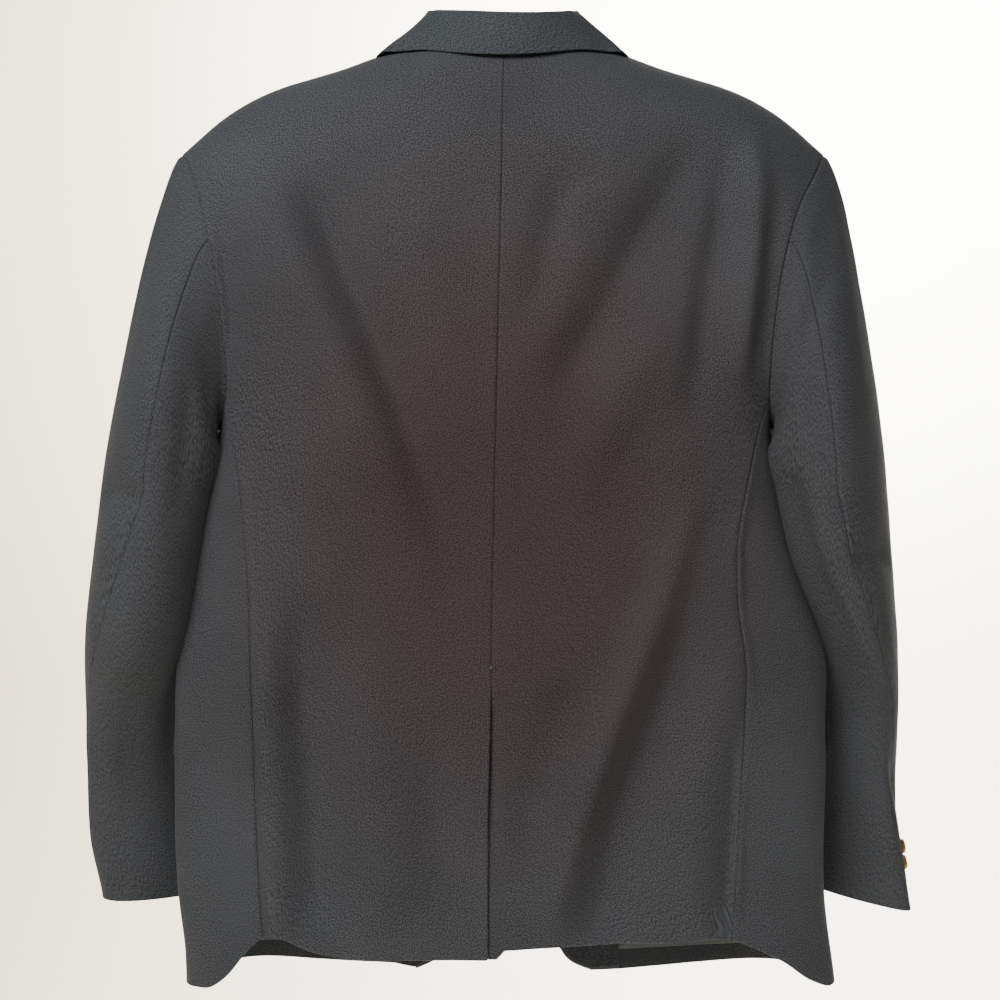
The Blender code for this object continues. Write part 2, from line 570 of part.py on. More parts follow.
def facing(side):
    """The strip of the same cloth inside the front edge."""
    level = FRONT_EDGE["level"][::-1] + FREE_EDGE
    edge = FRONT_EDGE["across"][::-1] + FREE_EDGE
    foot = hem_level(front_turn(side, FACING_EDGE, level[-1])) + FREE_EDGE
    first = np.stack([front_turn(side, edge, level), level], -1)
    last_level = np.linspace(level[0], foot, len(level))
    last = np.stack([front_turn(side, FACING_EDGE, last_level), last_level], -1)
    share = np.linspace(0, 1, 5)[:, None]
    top, bottom = first[0] + share * (last[0] - first[0]), first[-1] + share * (last[-1] - first[-1])
    turn, height = patch(first, last, top, bottom)
    return inner_layer("facing_", turn, height, side, wool)


def lining(side):
    """The satin from the facing to the side seam, ending above the hem."""
    seam_turn = side * np.radians(through(LINING_TOP, SIDE_SEAMS["level"], SIDE_SEAMS["front"]))
    start = FACING_EDGE + SEAM_HALF * 2
    share = np.linspace(0, 1, 8)[:, None]
    first_foot = hem_level(front_turn(side, start, LINING_START)) + LINING_HEM
    last_foot = hem_level(side * np.radians(SIDE_SEAMS["front"][1])) + LINING_HEM
    level = LINING_TOP + share * (first_foot - LINING_TOP)
    first = np.concatenate([front_turn(side, start, level), level], -1)
    level = LINING_TOP + share * (last_foot - LINING_TOP)
    turn = side * np.radians(through(level, SIDE_SEAMS["level"], SIDE_SEAMS["front"]) + LINING_TURN)
    last = np.concatenate([turn, level], -1)
    across = np.linspace(0, 1, 6)[:, None]
    turn, height = patch(first, last, first[0] + across * (last[0] - first[0]),
                         first[-1] + across * (last[-1] - first[-1]))
    return inner_layer("lining_", turn, height, side, satin)


def button(name, place, normal, radius, height):
    """A round brass button standing on a surface."""
    middle = place + normal * (LAYER_GAP + height / 2)
    turn = Vector(normal).to_track_quat("Z", "Y").to_euler()
    bpy.ops.mesh.primitive_cylinder_add(vertices=16, radius=radius, depth=height, location=middle,
                                        rotation=turn)
    thing = bpy.context.object
    thing.name = name
    for other in list(thing.users_collection):
        other.objects.unlink(thing)
    garment.objects.link(thing)
    thing.data.materials.append(brass)
    bevel = thing.modifiers.new("edge", "BEVEL")
    bevel.width = BUTTON_EDGE
    bevel.segments = 1


def front_buttons():
    """Two buttons on the middle line, fastened through the left front."""
    for number, row in enumerate(zip(*FRONT_BUTTONS.values()), 1):
        level, radius, height = row
        turn = front_turn(1, 0.0, level)
        button(f"front_button_{number}", skin(turn, level), body_normal(turn, level), radius, height)


def cuff_buttons(side):
    """Two buttons beside the cuff's vent, on the top sleeve."""
    for number, row in enumerate(zip(*CUFF_BUTTONS.values()), 1):
        level, radius, height = row
        angle = CUFF_BUTTON_ANGLE[side]
        round_step = tube(side, angle + 1, level) - tube(side, angle - 1, level)
        down_step = tube(side, angle, level - 0.004) - tube(side, angle, level + 0.004)
        normal = unit(np.cross(down_step, round_step)) * side
        name = f"cuff_button_{side_name(side)}_{number}"
        button(name, tube(side, angle, level), normal, radius, height)


for thing in list(bpy.data.objects):
    bpy.data.objects.remove(thing)
garment = bpy.data.collections.new("blazer")
bpy.context.scene.collection.children.link(garment)
wool = finish("wool", (0.055, 0.056, 0.062), 0.85)
satin = finish("satin", (0.09, 0.095, 0.095), 0.45)
brass = finish("brass", (0.60, 0.42, 0.18), 0.35, 1.0)

vent_underlap()
collar()
front_buttons()
for side in (1, -1):
    back(side)
    side_panel(side)
    front(side)
    sleeve(side)
    lapel(side)
    patch_pocket(side, "pocket_", POCKET)
    patch_pocket(side, "flap_", FLAP)
    facing(side)
    lining(side)
    cuff_buttons(side)
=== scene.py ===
"""Men's single-breasted blazer of dark wool twill, seen from behind and filled out as if it were worn.

The sections follow the garment as it is sewn together. Metres, +Z up, the front faces -Y, and the wearer's
left side is +X. The origin is the middle of the neck.
"""

import bmesh
import bpy
import numpy as np
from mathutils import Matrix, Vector


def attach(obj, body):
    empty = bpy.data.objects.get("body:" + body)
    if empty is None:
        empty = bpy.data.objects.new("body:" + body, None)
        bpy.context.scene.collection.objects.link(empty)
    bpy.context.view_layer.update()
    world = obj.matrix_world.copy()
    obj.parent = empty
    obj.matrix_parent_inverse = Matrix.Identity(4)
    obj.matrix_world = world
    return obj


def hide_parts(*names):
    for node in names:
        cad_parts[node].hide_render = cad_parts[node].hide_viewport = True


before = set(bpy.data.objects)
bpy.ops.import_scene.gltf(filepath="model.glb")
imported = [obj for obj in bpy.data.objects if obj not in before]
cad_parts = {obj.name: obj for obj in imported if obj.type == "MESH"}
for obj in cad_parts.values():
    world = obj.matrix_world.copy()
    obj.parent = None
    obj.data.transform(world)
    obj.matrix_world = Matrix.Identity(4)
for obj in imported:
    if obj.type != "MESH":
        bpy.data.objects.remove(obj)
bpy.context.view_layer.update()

# THE BACK
# Two halves of a fine wool twill, sewn together down the middle as far as the vent. The seams are pressed
# open inside, and the cloth hangs in soft folds from the shoulders.


def table(names, rows):
    """Rows of numbers as named columns."""
    return dict(zip(names.split(), np.array(rows, float).T))


def cubic(t, start, leave, end, arrive):
    """From start to end as t goes from 0 to 1, with the given slopes at the two."""
    return ((1 + 2 * t) * (1 - t) ** 2 * start + t * (1 - t) ** 2 * leave
            + t * t * (3 - 2 * t) * end + t * t * (t - 1) * arrive)


def through(at, known, values):
    """A smooth curve through known values: a cubic between each two, with its neighbours' slope at each."""
    slope = np.gradient(values, known)
    at = np.clip(at, known[0], known[-1])
    i = np.clip(np.searchsorted(known, at) - 1, 0, len(known) - 2)
    span = known[i + 1] - known[i]
    return cubic((at - known[i]) / span, values[i], span * slope[i], values[i + 1], span * slope[i + 1])


def smooth(share):
    """From 0 to 1 with no slope at either end."""
    share = np.clip(share, 0, 1)
    return share * share * (3 - 2 * share)


def unit(vectors):
    """The same directions, one long."""
    return vectors / np.maximum(np.linalg.norm(vectors, axis=-1, keepdims=True), 1e-12)


def bell(distance, width):
    """A bump one high, of the given half width."""
    return np.exp(-(distance / width) ** 2)


def side_name(side):
    """The wearer's side: 1 is the left, -1 the right."""
    return "left" if side > 0 else "right"


CLOTH = 0.0020
PLAN_POWER, COVER_POWER = 2.6, 0.625
BODY = table("level left right back front", (
    (-0.800, 0.271, 0.288, 0.052, 0.060), (-0.735, 0.275, 0.279, 0.054, 0.064),
    (-0.660, 0.278, 0.2765, 0.056, 0.068), (-0.550, 0.279, 0.278, 0.058, 0.072),
    (-0.500, 0.278, 0.2765, 0.059, 0.073), (-0.450, 0.272, 0.262, 0.061, 0.075),
    (-0.400, 0.2625, 0.247, 0.063, 0.077), (-0.350, 0.252, 0.236, 0.065, 0.078),
    (-0.300, 0.243, 0.231, 0.067, 0.078), (-0.250, 0.245, 0.243, 0.068, 0.077),
    (-0.200, 0.261, 0.261, 0.069, 0.073), (-0.130, 0.288, 0.288, 0.068, 0.063),
    (-0.087, 0.303, 0.303, 0.067, 0.056), (0.040, 0.325, 0.325, 0.064, 0.048)))
SHOULDER = table("across height", (
    (0.000, 0.0430), (0.053, 0.0356), (0.084, 0.0240), (0.111, 0.0146), (0.137, 0.0051), (0.163, -0.0028),
    (0.190, -0.0110), (0.216, -0.0223), (0.242, -0.0387), (0.269, -0.0619), (0.283, -0.0745),
    (0.316, -0.1120), (0.358, -0.1700)))
SHOULDER_POINT = 0.2775
BACK_REACH, FRONT_REACH, NORMAL_BLEND = 0.120, 0.150, 0.030
TURN_STEP, LEVEL_STEP, RIDGE_STEP = 0.004, 0.0008, 0.002    # small steps for a slope, in radians and metres
ARMHOLE_TOP, ARMHOLE_BOTTOM = -0.0695, -0.305
ARMHOLE = table("angle left right", (
    (0, 61.5, 61.5), (30, 57.8, 58.3), (60, 56.8, 54.2), (90, 60.8, 56.9), (120, 70.2, 65.2),
    (143, 75.0, 73.0), (160, 81.0, 80.0), (180, 90.0, 90.0), (200, 105.0, 105.5), (217, 114.0, 114.5),
    (240, 119.5, 120.0), (270, 125.0, 125.0), (300, 127.0, 127.0), (330, 123.5, 123.5), (360, 118.5, 118.5)))
SIDE_SEAMS = table("level back_left back_right front", (
    (-0.800, 41.0, 37.5, 121.0), (-0.735, 41.3, 38.0, 120.5), (-0.695, 41.9, 39.2, 120.0),
    (-0.613, 42.7, 40.5, 119.0), (-0.531, 43.6, 41.5, 118.0), (-0.446, 46.6, 43.5, 116.5),
    (-0.396, 51.3, 48.5, 115.5), (-0.350, 58.0, 57.0, 114.8), (-0.283, 75.0, 73.0, 114.2)))
HEM = table("turn left right", (
    (0, -0.747, -0.740), (12, -0.748, -0.735), (25, -0.747, -0.733), (31, -0.741, -0.732),
    (37, -0.731, -0.733), (42, -0.733, -0.739), (47, -0.746, -0.746), (53, -0.764, -0.755),
    (60, -0.776, -0.768), (72, -0.780, -0.779), (90, -0.780, -0.779), (110, -0.778, -0.777),
    (130, -0.774, -0.776), (150, -0.780, -0.783), (165, -0.785, -0.790), (180, -0.790, -0.791)))
NECK_HALF, NECK_LOW = 0.072, 0.0100
BACK_END, FRONT_END = 143.0, 217.0          # where the side seams meet the armhole, in its degrees
BACK_SEAM = table("level across", (
    (-0.760, 0.0130), (-0.620, 0.0125), (-0.500, 0.0098), (-0.250, 0.0045), (0.005, -0.0016)))
VENT_TOP = -0.508
SEAM_DIP, SEAM_WIDTH = 0.0009, 0.0012       # the cloth turns in at a seam by this, within this


def ridge(across):
    """Height of the shoulder line."""
    return through(np.abs(across), SHOULDER["across"], SHOULDER["height"])


def half_width(level, left):
    """Half the body's width on the left or the right side."""
    return np.where(left, through(level, BODY["level"], BODY["left"]),
                    through(level, BODY["level"], BODY["right"]))


def body(turn, level):
    """The body's surface: at each level a superellipse, |x/a|^p + |y/b|^p = 1, whose depth b closes to
    nothing at the shoulder line. The turn is in radians from centre back."""
    sine, cosine = np.sin(turn), np.cos(turn)
    power = 2 / PLAN_POWER
    across = half_width(level, sine >= 0) * np.sign(sine) * np.abs(sine) ** power
    reach = np.where(cosine >= 0, BACK_REACH, FRONT_REACH)
    below = np.clip((ridge(across) - level) / reach, 0, 1)
    cover = (1 - (1 - below) ** 2) ** COVER_POWER
    depth = np.where(cosine >= 0, through(level, BODY["level"], BODY["back"]),
                     through(level, BODY["level"], BODY["front"]))
    out = depth * np.sign(cosine) * np.abs(cosine) ** power * cover
    return np.stack([across, out, level + 0 * out], -1)


def body_normal(turn, level):
    """Outward direction: the cross product of two small steps, leaning upright near the shoulder line."""
    points = body(turn, level)
    along = body(turn + TURN_STEP, level) - body(turn - TURN_STEP, level)
    down = body(turn, level - LEVEL_STEP) - body(turn, level + LEVEL_STEP)
    normal = unit(np.cross(down, along))
    outward = points * (1, 1, 0) + (0, 0, 0.05)
    normal *= np.where((normal * outward).sum(-1, keepdims=True) < 0, -1, 1)
    across = points[..., 0]
    slope = (ridge(across + RIDGE_STEP) - ridge(across - RIDGE_STEP)) / (2 * RIDGE_STEP)
    upright = unit(np.stack([-slope, 0 * slope, 1 + 0 * slope], -1))
    share = smooth((ridge(across) - level) / NORMAL_BLEND)[..., None]
    return unit(normal * share + upright * (1 - share))


def back_turn(across, level):
    """Turn on the back, from the distance across."""
    share = np.clip(np.abs(across) / half_width(level, across >= 0), 0, 1)
    return np.sign(across) * np.arcsin(share ** (PLAN_POWER / 2))


def armhole(side, angle):
    """Turn and level of the armhole, an ellipse in level, at an angle in degrees from the shoulder."""
    middle, half = (ARMHOLE_TOP + ARMHOLE_BOTTOM) / 2, (ARMHOLE_TOP - ARMHOLE_BOTTOM) / 2
    turn = np.radians(through(angle, ARMHOLE["angle"], ARMHOLE[side_name(side)]))
    return np.stack([side * turn, middle + half * np.cos(np.radians(angle))], -1)


def hem_level(turn):
    """Level of the hem all round."""
    degrees = np.degrees(np.abs(turn))
    return np.where(np.sin(turn) >= 0, through(degrees, HEM["turn"], HEM["left"]),
                    through(degrees, HEM["turn"], HEM["right"]))


def seam(side, where, step):
    """A side seam below the armhole, as turn and level, at shares of the way down to the hem."""
    column = "front" if where == "front" else "back_" + side_name(side)
    start = armhole(side, FRONT_END if where == "front" else BACK_END)
    level = start[1] + step * (hem_level(side * np.radians(SIDE_SEAMS[column][1])) - start[1])
    return np.stack([side * np.radians(through(level, SIDE_SEAMS["level"], SIDE_SEAMS[column])), level], -1)


def patch(first, last, top, bottom, down, across):
    """A grid of turns and levels blended from its four edges: the two ruled surfaces, less the corners'."""
    down, across = down[:, None, None], across[None, :, None]
    ruled = (1 - across) * first[:, None] + across * last[:, None]
    lofted = (1 - down) * top[None] + down * bottom[None]
    corners = ((1 - down) * ((1 - across) * top[0] + across * top[-1])
               + down * ((1 - across) * bottom[0] + across * bottom[-1]))
    grid = ruled + lofted - corners
    return grid[..., 0], grid[..., 1]


NEAR_EDGE = 0.0006, 0.0014, 0.0024, 0.0040  # extra rows and columns lie this far from an edge


def closer(count, length):
    """Shares from 0 to 1, evenly spaced, with four more close to each end of a length in metres."""
    near = np.array(NEAR_EDGE) / length
    return np.unique(np.concatenate([np.linspace(0, 1, count), near, 1 - near]))


def measured(points, share):
    """Where even shares of a line's real length fall, as an index along its points."""
    length = np.concatenate([[0], np.cumsum(np.linalg.norm(np.diff(points, axis=0), axis=-1))])
    return np.interp(share * length[-1], length, np.arange(len(points)))


def travel(points, axis):
    """Real distance along a grid's rows or columns, from their first point."""
    step = np.linalg.norm(np.diff(points, axis=axis), axis=-1)
    return np.concatenate([np.zeros_like(np.take(step, [0], axis)), np.cumsum(step, axis)], axis)


CREASE_POINTS = 18                          # along the curved line of each fold
WAVES = 190, 140, 96, 70, 46                # wavelengths of the cloth's unevenness, in millimetres


def creases(place, lines):
    """Soft folds: each adds its depth times a bell of the distance to its curved line, wider on one side
    than on the other, and fades in and out along it. Places, widths and depths are in millimetres."""
    total = np.zeros(place.shape[:-1])
    for depth, one, other, fade, points in lines:
        points = np.array(points, float)
        index = np.linspace(0, len(points) - 1, CREASE_POINTS)
        points = np.stack([through(index, np.arange(len(points)), points[:, axis]) for axis in (0, 1)], -1)
        start, run = points[:-1], np.diff(points, axis=0)
        length = np.linalg.norm(run, axis=-1)
        away = place[..., None, :] - start
        share = np.clip((away * run).sum(-1) / length ** 2, 0, 1)
        away = away - share[..., None] * run
        distance = np.linalg.norm(away, axis=-1)
        nearest = distance.argmin(-1)[..., None]
        turned = run[:, 0] * away[..., 1] - run[:, 1] * away[..., 0]
        on_left = np.take_along_axis(turned, nearest, -1)[..., 0] > 0
        along = np.take_along_axis(np.cumsum(length) - length + share * length, nearest, -1)[..., 0]
        along = along / length.sum()
        gap = np.take_along_axis(distance, nearest, -1)[..., 0]
        height = depth * bell(gap, np.where(on_left, one, other))
        total += height * smooth(along / fade[0]) * smooth((1 - along) / fade[1])
    return total / 1000


def unevenness(place, seed):
    """Slow unevenness of hanging cloth: five long waves, each with a fixed direction and phase."""
    chance = np.random.default_rng(seed)
    total = np.zeros(place.shape[:-1])
    for wave in WAVES:
        direction = chance.normal(size=2) * (1.0, 0.55)
        direction = direction / np.linalg.norm(direction)
        phase = chance.uniform(0, 6.28)
        total += wave / WAVES[0] * np.sin((place * direction).sum(-1) * 6.283 / wave + phase)
    return total / 1000


def face_normals(points, outward):
    """Unit normals of a grid of points, on the side that the outward directions point to."""
    normal = unit(np.cross(np.gradient(points, axis=0), np.gradient(points, axis=1)))
    return normal * np.sign((normal * outward).sum())


def grid_faces(index):
    """Four-sided faces of a grid of point numbers."""
    return np.stack([index[:-1, :-1], index[1:, :-1], index[1:, 1:], index[:-1, 1:]], -1).reshape(-1, 4)


def smooth_mesh(name, points, faces, material):
    """A mesh of one material, shaded smooth, from its points and their numbers round each face."""
    mesh = bpy.data.meshes.new(name)
    mesh.from_pydata(points.reshape(-1, 3).tolist(), [], faces)
    mesh.shade_smooth()
    mesh.materials.append(material)
    return mesh


def set_uv(mesh, places):
    """Gives a mesh its cloth UV map, one place for each corner of each face."""
    layer = mesh.uv_layers.new(name="cloth")
    layer.data.foreach_set("uv", places.astype(np.float32).reshape(-1))


def put(name, data):
    """A new object for a mesh, a light or a camera, in the scene."""
    thing = bpy.data.objects.new(name, data)
    bpy.context.scene.collection.objects.link(thing)
    return thing


RIM_ROUND = 0.35                            # how far a rim stands out, in thicknesses of the wall


def shell(name, outer, inner, uv, material):
    """A closed wall: two grids that match point by point, joined by a rim that is rounded outwards."""
    rows, columns = outer.shape[:2]
    index = np.arange(rows * columns).reshape(rows, columns)
    quads = grid_faces(index)
    rim = np.concatenate([index[0, :-1], index[:-1, -1], index[-1, :0:-1], index[:0:-1, 0]])
    within = np.concatenate([index[1, :-1], index[:-1, -2], index[-2, :0:-1], index[:0:-1, 1]])
    flat, under = outer.reshape(-1, 3), inner.reshape(-1, 3)
    thick = np.linalg.norm(flat[rim] - under[rim], axis=-1, keepdims=True)
    edge = (flat[rim] + under[rim]) / 2 + unit(flat[rim] - flat[within]) * thick * RIM_ROUND
    second, ring = rows * columns, 2 * rows * columns + np.arange(len(rim))
    ahead, ring_ahead = np.roll(rim, -1), np.roll(ring, -1)
    faces = np.concatenate([quads, quads[:, ::-1] + second, np.stack([rim, ahead, ring_ahead, ring], -1),
                            np.stack([ring, ring_ahead, ahead + second, rim + second], -1)])
    points = np.concatenate([flat, under, edge])
    corner = points[faces]
    volume = (np.cross(corner[:, 0], corner[:, 1]) * corner[:, 2]).sum()
    volume += (np.cross(corner[:, 0], corner[:, 2]) * corner[:, 3]).sum()
    if volume < 0:
        faces = faces[:, ::-1]
    mesh = smooth_mesh(name, points, faces.tolist(), material)
    places = uv.reshape(-1, 2)
    set_uv(mesh, np.concatenate([places, places, places[rim]])[faces.reshape(-1)])
    return put(name, mesh)


def linear(code):
    """An sRGB hex colour as linear red, green, blue and alpha."""
    share = np.array([int(code[i:i + 2], 16) for i in (1, 3, 5)]) / 255
    share = np.where(share <= 0.04045, share / 12.92, ((share + 0.055) / 1.055) ** 2.4)
    return (*share.tolist(), 1.0)


def add_node(tree, kind, settings=None, inputs=None):
    """Adds a node; a setting is a property, and an input is a number, a colour or another node's socket."""
    node = tree.nodes.new("ShaderNode" + kind)
    for key, value in (settings or {}).items():
        setattr(node, key, value)
    for key, value in (inputs or {}).items():
        if isinstance(value, bpy.types.NodeSocket):
            tree.links.new(value, node.inputs[key])
        else:
            node.inputs[key].default_value = value
    return node


def new_material(name):
    """A new material with its node tree and its shader."""
    material = bpy.data.materials.new(name)
    material.use_nodes = True
    return material, material.node_tree, material.node_tree.nodes["Principled BSDF"]


def wool_twill(name, light, dark, painted_cast_colour, fuzz):
    """Piece-dyed worsted twill. Two shades of yarn show as a fine grain about 1 mm across, with a faint twill
    line every 2.2 mm, both drawn coarser than they are so that they show. The yarn is matt, with a little
    fuzz. A faint, warmer and darker cast is painted on the middle of the back: painted light, not the cloth's
    own colour."""
    material, tree, shader = new_material(name)
    cloth_place = add_node(tree, "UVMap", {"uv_map": "cloth"}).outputs["UV"]
    place = add_node(tree, "TexCoord").outputs["Object"]
    twill = add_node(tree, "TexWave", {"bands_direction": "DIAGONAL"},
                     {"Vector": cloth_place, "Scale": 285.0, "Distortion": 1.2, "Detail": 2.0}).outputs["Fac"]
    yarn = add_node(tree, "TexNoise", None, {"Vector": cloth_place, "Scale": 950.0, "Detail": 1.0,
                                             "Roughness": 0.7}).outputs["Fac"]
    wear = add_node(tree, "TexNoise", None, {"Vector": place, "Scale": 9.0, "Detail": 2.0}).outputs["Fac"]
    grain = add_node(tree, "MapRange", None, {"Value": yarn, "From Min": 0.41, "From Max": 0.59}).outputs[0]
    line = add_node(tree, "Math", {"operation": "MULTIPLY_ADD"}, {0: twill, 1: 0.05, 2: grain}).outputs[0]
    slow = add_node(tree, "Math", {"operation": "MULTIPLY_ADD"}, {0: wear, 1: 0.35, 2: line}).outputs[0]
    share = add_node(tree, "MapRange", None, {"Value": slow, "From Min": 0.05, "From Max": 1.25}).outputs[0]
    colour = add_node(tree, "Mix", {"data_type": "RGBA"},
                      {"Factor": share, 6: linear(dark), 7: linear(light)}).outputs[2]
    # Painted light: a warm, darker cast is multiplied into the colour round the middle of the back
    off = add_node(tree, "VectorMath", {"operation": "SUBTRACT"},
                   {0: place, 1: (0.0, 0.06, -0.37)}).outputs[0]
    wide = add_node(tree, "VectorMath", {"operation": "MULTIPLY"}, {0: off, 1: (1.0, 2.2, 0.75)}).outputs[0]
    far = add_node(tree, "VectorMath", {"operation": "LENGTH"}, {0: wide}).outputs["Value"]
    painted_warm_cast = add_node(tree, "MapRange", {"interpolation_type": "SMOOTHSTEP"},
                    {"Value": far, "From Min": 0.05, "From Max": 0.34,
                     "To Min": 1.0, "To Max": 0.0}).outputs[0]
    colour = add_node(tree, "Mix", {"data_type": "RGBA", "blend_type": "MULTIPLY"},
                      {"Factor": painted_warm_cast, 6: colour, 7: linear(painted_cast_colour)}).outputs[2]
    tree.links.new(colour, shader.inputs["Base Color"])
    relief = add_node(tree, "Math", {"operation": "MULTIPLY_ADD"}, {0: twill, 1: 0.12, 2: yarn}).outputs[0]
    bump = add_node(tree, "Bump", None, {"Height": relief, "Strength": 0.09, "Distance": 0.0003})
    tree.links.new(bump.outputs["Normal"], shader.inputs["Normal"])
    shader.inputs["Roughness"].default_value = 0.82
    shader.inputs["Specular IOR Level"].default_value = 0.25
    shader.inputs["Sheen Weight"].default_value = fuzz
    shader.inputs["Sheen Roughness"].default_value = 0.45
    return material


# the last colour is the painted warm cast on the middle of the back
wool = wool_twill("dark wool twill", "#585b60", "#16181b", "#f5cdc7", 0.04)


def cloth(name, points, outward, material,
          thick=CLOTH, uv=None):
    """One piece of cloth in place of its solid: the wall between a grid and the same grid moved in."""
    normal = face_normals(points, outward)
    if uv is None:
        uv = np.stack([travel(points, 1), travel(points, 0)], -1)
    piece = shell(name + "_cloth", points, points - normal * thick, uv, material)
    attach(piece, "root")
    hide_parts(name)


def seam_dip(points, edges):
    """How far the cloth turns in beside its sewn edges: the dip times a bell of the distance to each."""
    across, down = travel(points, 1), travel(points, 0)
    distance = {"first": across, "last": to_last(points), "top": down}
    return sum(SEAM_DIP * bell(distance[edge], SEAM_WIDTH) for edge in edges)


def to_last(points):
    """Real distance along a grid's rows to its last column."""
    across = travel(points, 1)
    return across[:, -1:] - across


def outer_edge(side, where, angles, index):
    """A panel's outer edge as turn and level: places 0 to 10 go round the armhole, 10 to 19 down the seam."""
    hole = armhole(side, np.interp(index, np.arange(11), angles))
    below = seam(side, where, np.interp(index, np.arange(10, 20), np.concatenate([[0], SEAM_STEPS])))
    return np.where(index[:, None] <= 10, hole, below)


def hem_edge(first, last, share):
    """A panel's lower edge as turn and level, from the foot of its first edge to the foot of its last."""
    turn = first[-1, 0] + share * (last[-1, 0] - first[-1, 0])
    edge = np.stack([turn, hem_level(turn)], -1)
    edge[0], edge[-1] = first[-1], last[-1]
    return edge


BACK_ANGLES = np.array((0, 6, 14, 26, 42, 57, 72, 90, 108, 126, 143), float)
SEAM_STEPS = np.array((0.05, 0.11, 0.19, 0.29, 0.42, 0.57, 0.72, 0.86, 1.0))
BACK_COLUMNS = np.array((0.0, 0.036, NECK_HALF, 0.118, 0.168, 0.224, SHOULDER_POINT))
# Folds of the back: depth (up to the outside), widths to the left and right of the line as it runs, how soon
# it fades in and out, and its line, x and z in millimetres
BACK_FOLDS = (
    (-12.0, 24, 40, (0.22, 0.30), (
        (172, -62), (158, -111), (130, -182), (97, -260), (68, -334), (44, -409), (27, -474))),
    (-4.0, 16, 10, (0.20, 0.40), ((170, -70), (150, -130), (124, -196), (94, -270), (66, -345), (50, -400))),
    (7.0, 40, 40, (0.30, 0.35), ((120, -70), (100, -160), (66, -250), (36, -340), (16, -430))),
    (11.5, 38, 26, (0.32, 0.35), ((192, -70), (180, -120), (152, -190), (120, -266), (92, -340), (70, -410))),
    (-7.0, 14, 18, (0.35, 0.35), ((229, -80), (234, -180), (237, -270))),
    (-12.0, 20, 40, (0.40, 0.15), ((158, -400), (166, -516), (158, -616), (152, -740))),
    (6.0, 30, 28, (0.40, 0.10), ((124, -440), (116, -560), (110, -750))),
    (9.0, 24, 18, (0.35, 0.10), ((200, -430), (192, -590), (186, -750))),
    (-4.0, 20, 22, (0.40, 0.20), ((70, -520), (58, -610), (52, -720))),
    (-12.0, 22, 36, (0.22, 0.30), (
        (-180, -45), (-155, -86), (-128, -132), (-88, -203), (-59, -260), (-33, -320))),
    (-6.5, 20, 14, (0.30, 0.35), ((-96, -100), (-55, -108), (-37, -160), (-22, -230))),
    (8.0, 26, 26, (0.35, 0.40), ((-136, -200), (-104, -264), (-70, -330), (-40, -400))),
    (-7.5, 14, 18, (0.25, 0.40), ((-190, -56), (-184, -118), (-173, -180), (-164, -250), (-150, -330))),
    (8.0, 12, 13, (0.20, 0.40), ((-207, -46), (-208, -118), (-206, -193), (-198, -290))),
    (-7.0, 11, 11, (0.30, 0.40), ((-230, -96), (-222, -167), (-216, -226), (-213, -300))),
    (13.0, 17, 15, (0.35, 0.10), (
        (-172, -330), (-144, -410), (-124, -470), (-103, -520), (-80, -580), (-57, -650), (-32, -745))),
    (-9.0, 16, 28, (0.30, 0.12), ((-158, -450), (-138, -520), (-112, -590), (-95, -640), (-74, -745))),
    (-4.0, 20, 20, (0.35, 0.25), ((-84, -470), (-54, -532), (-30, -590), (-4, -680))),
    (7.0, 30, 26, (0.35, 0.12), ((-182, -430), (-172, -560), (-146, -760))),
    (-5.0, 16, 16, (0.35, 0.20), ((-198, -520), (-196, -620), (-188, -740))),
)
BACK_ROWS, BACK_ACROSS = (190, 0.80), (104, 0.28)       # how many, over what length in metres
RIDGE_QUIET, EDGE_QUIET = 0.060, 0.012      # folds die away within these of the shoulder line and of a seam
VENT_RAISE, RAISE_WIDTH = 0.0022, 0.020     # the vent's left edge lies over the underlap
VENT_GAPE, GAPE_WIDTH = 0.0042, 0.0085      # its right edge turns in below the bar tack
PRESS_DEEP, PRESS_WIDTH = 0.0005, 0.0012    # a pressed crease beside the right edge
PRESS_NEAR, PRESS_MORE = 0.0040, 0.0120     # its distance from the edge at the top, and how that grows


def back_relief(points):
    """How far the back's cloth stands off the body's surface: its folds and its unevenness."""
    place = points[..., (0, 2)] * 1000
    return creases(place, BACK_FOLDS) + 0.7 * unevenness(place, 3)


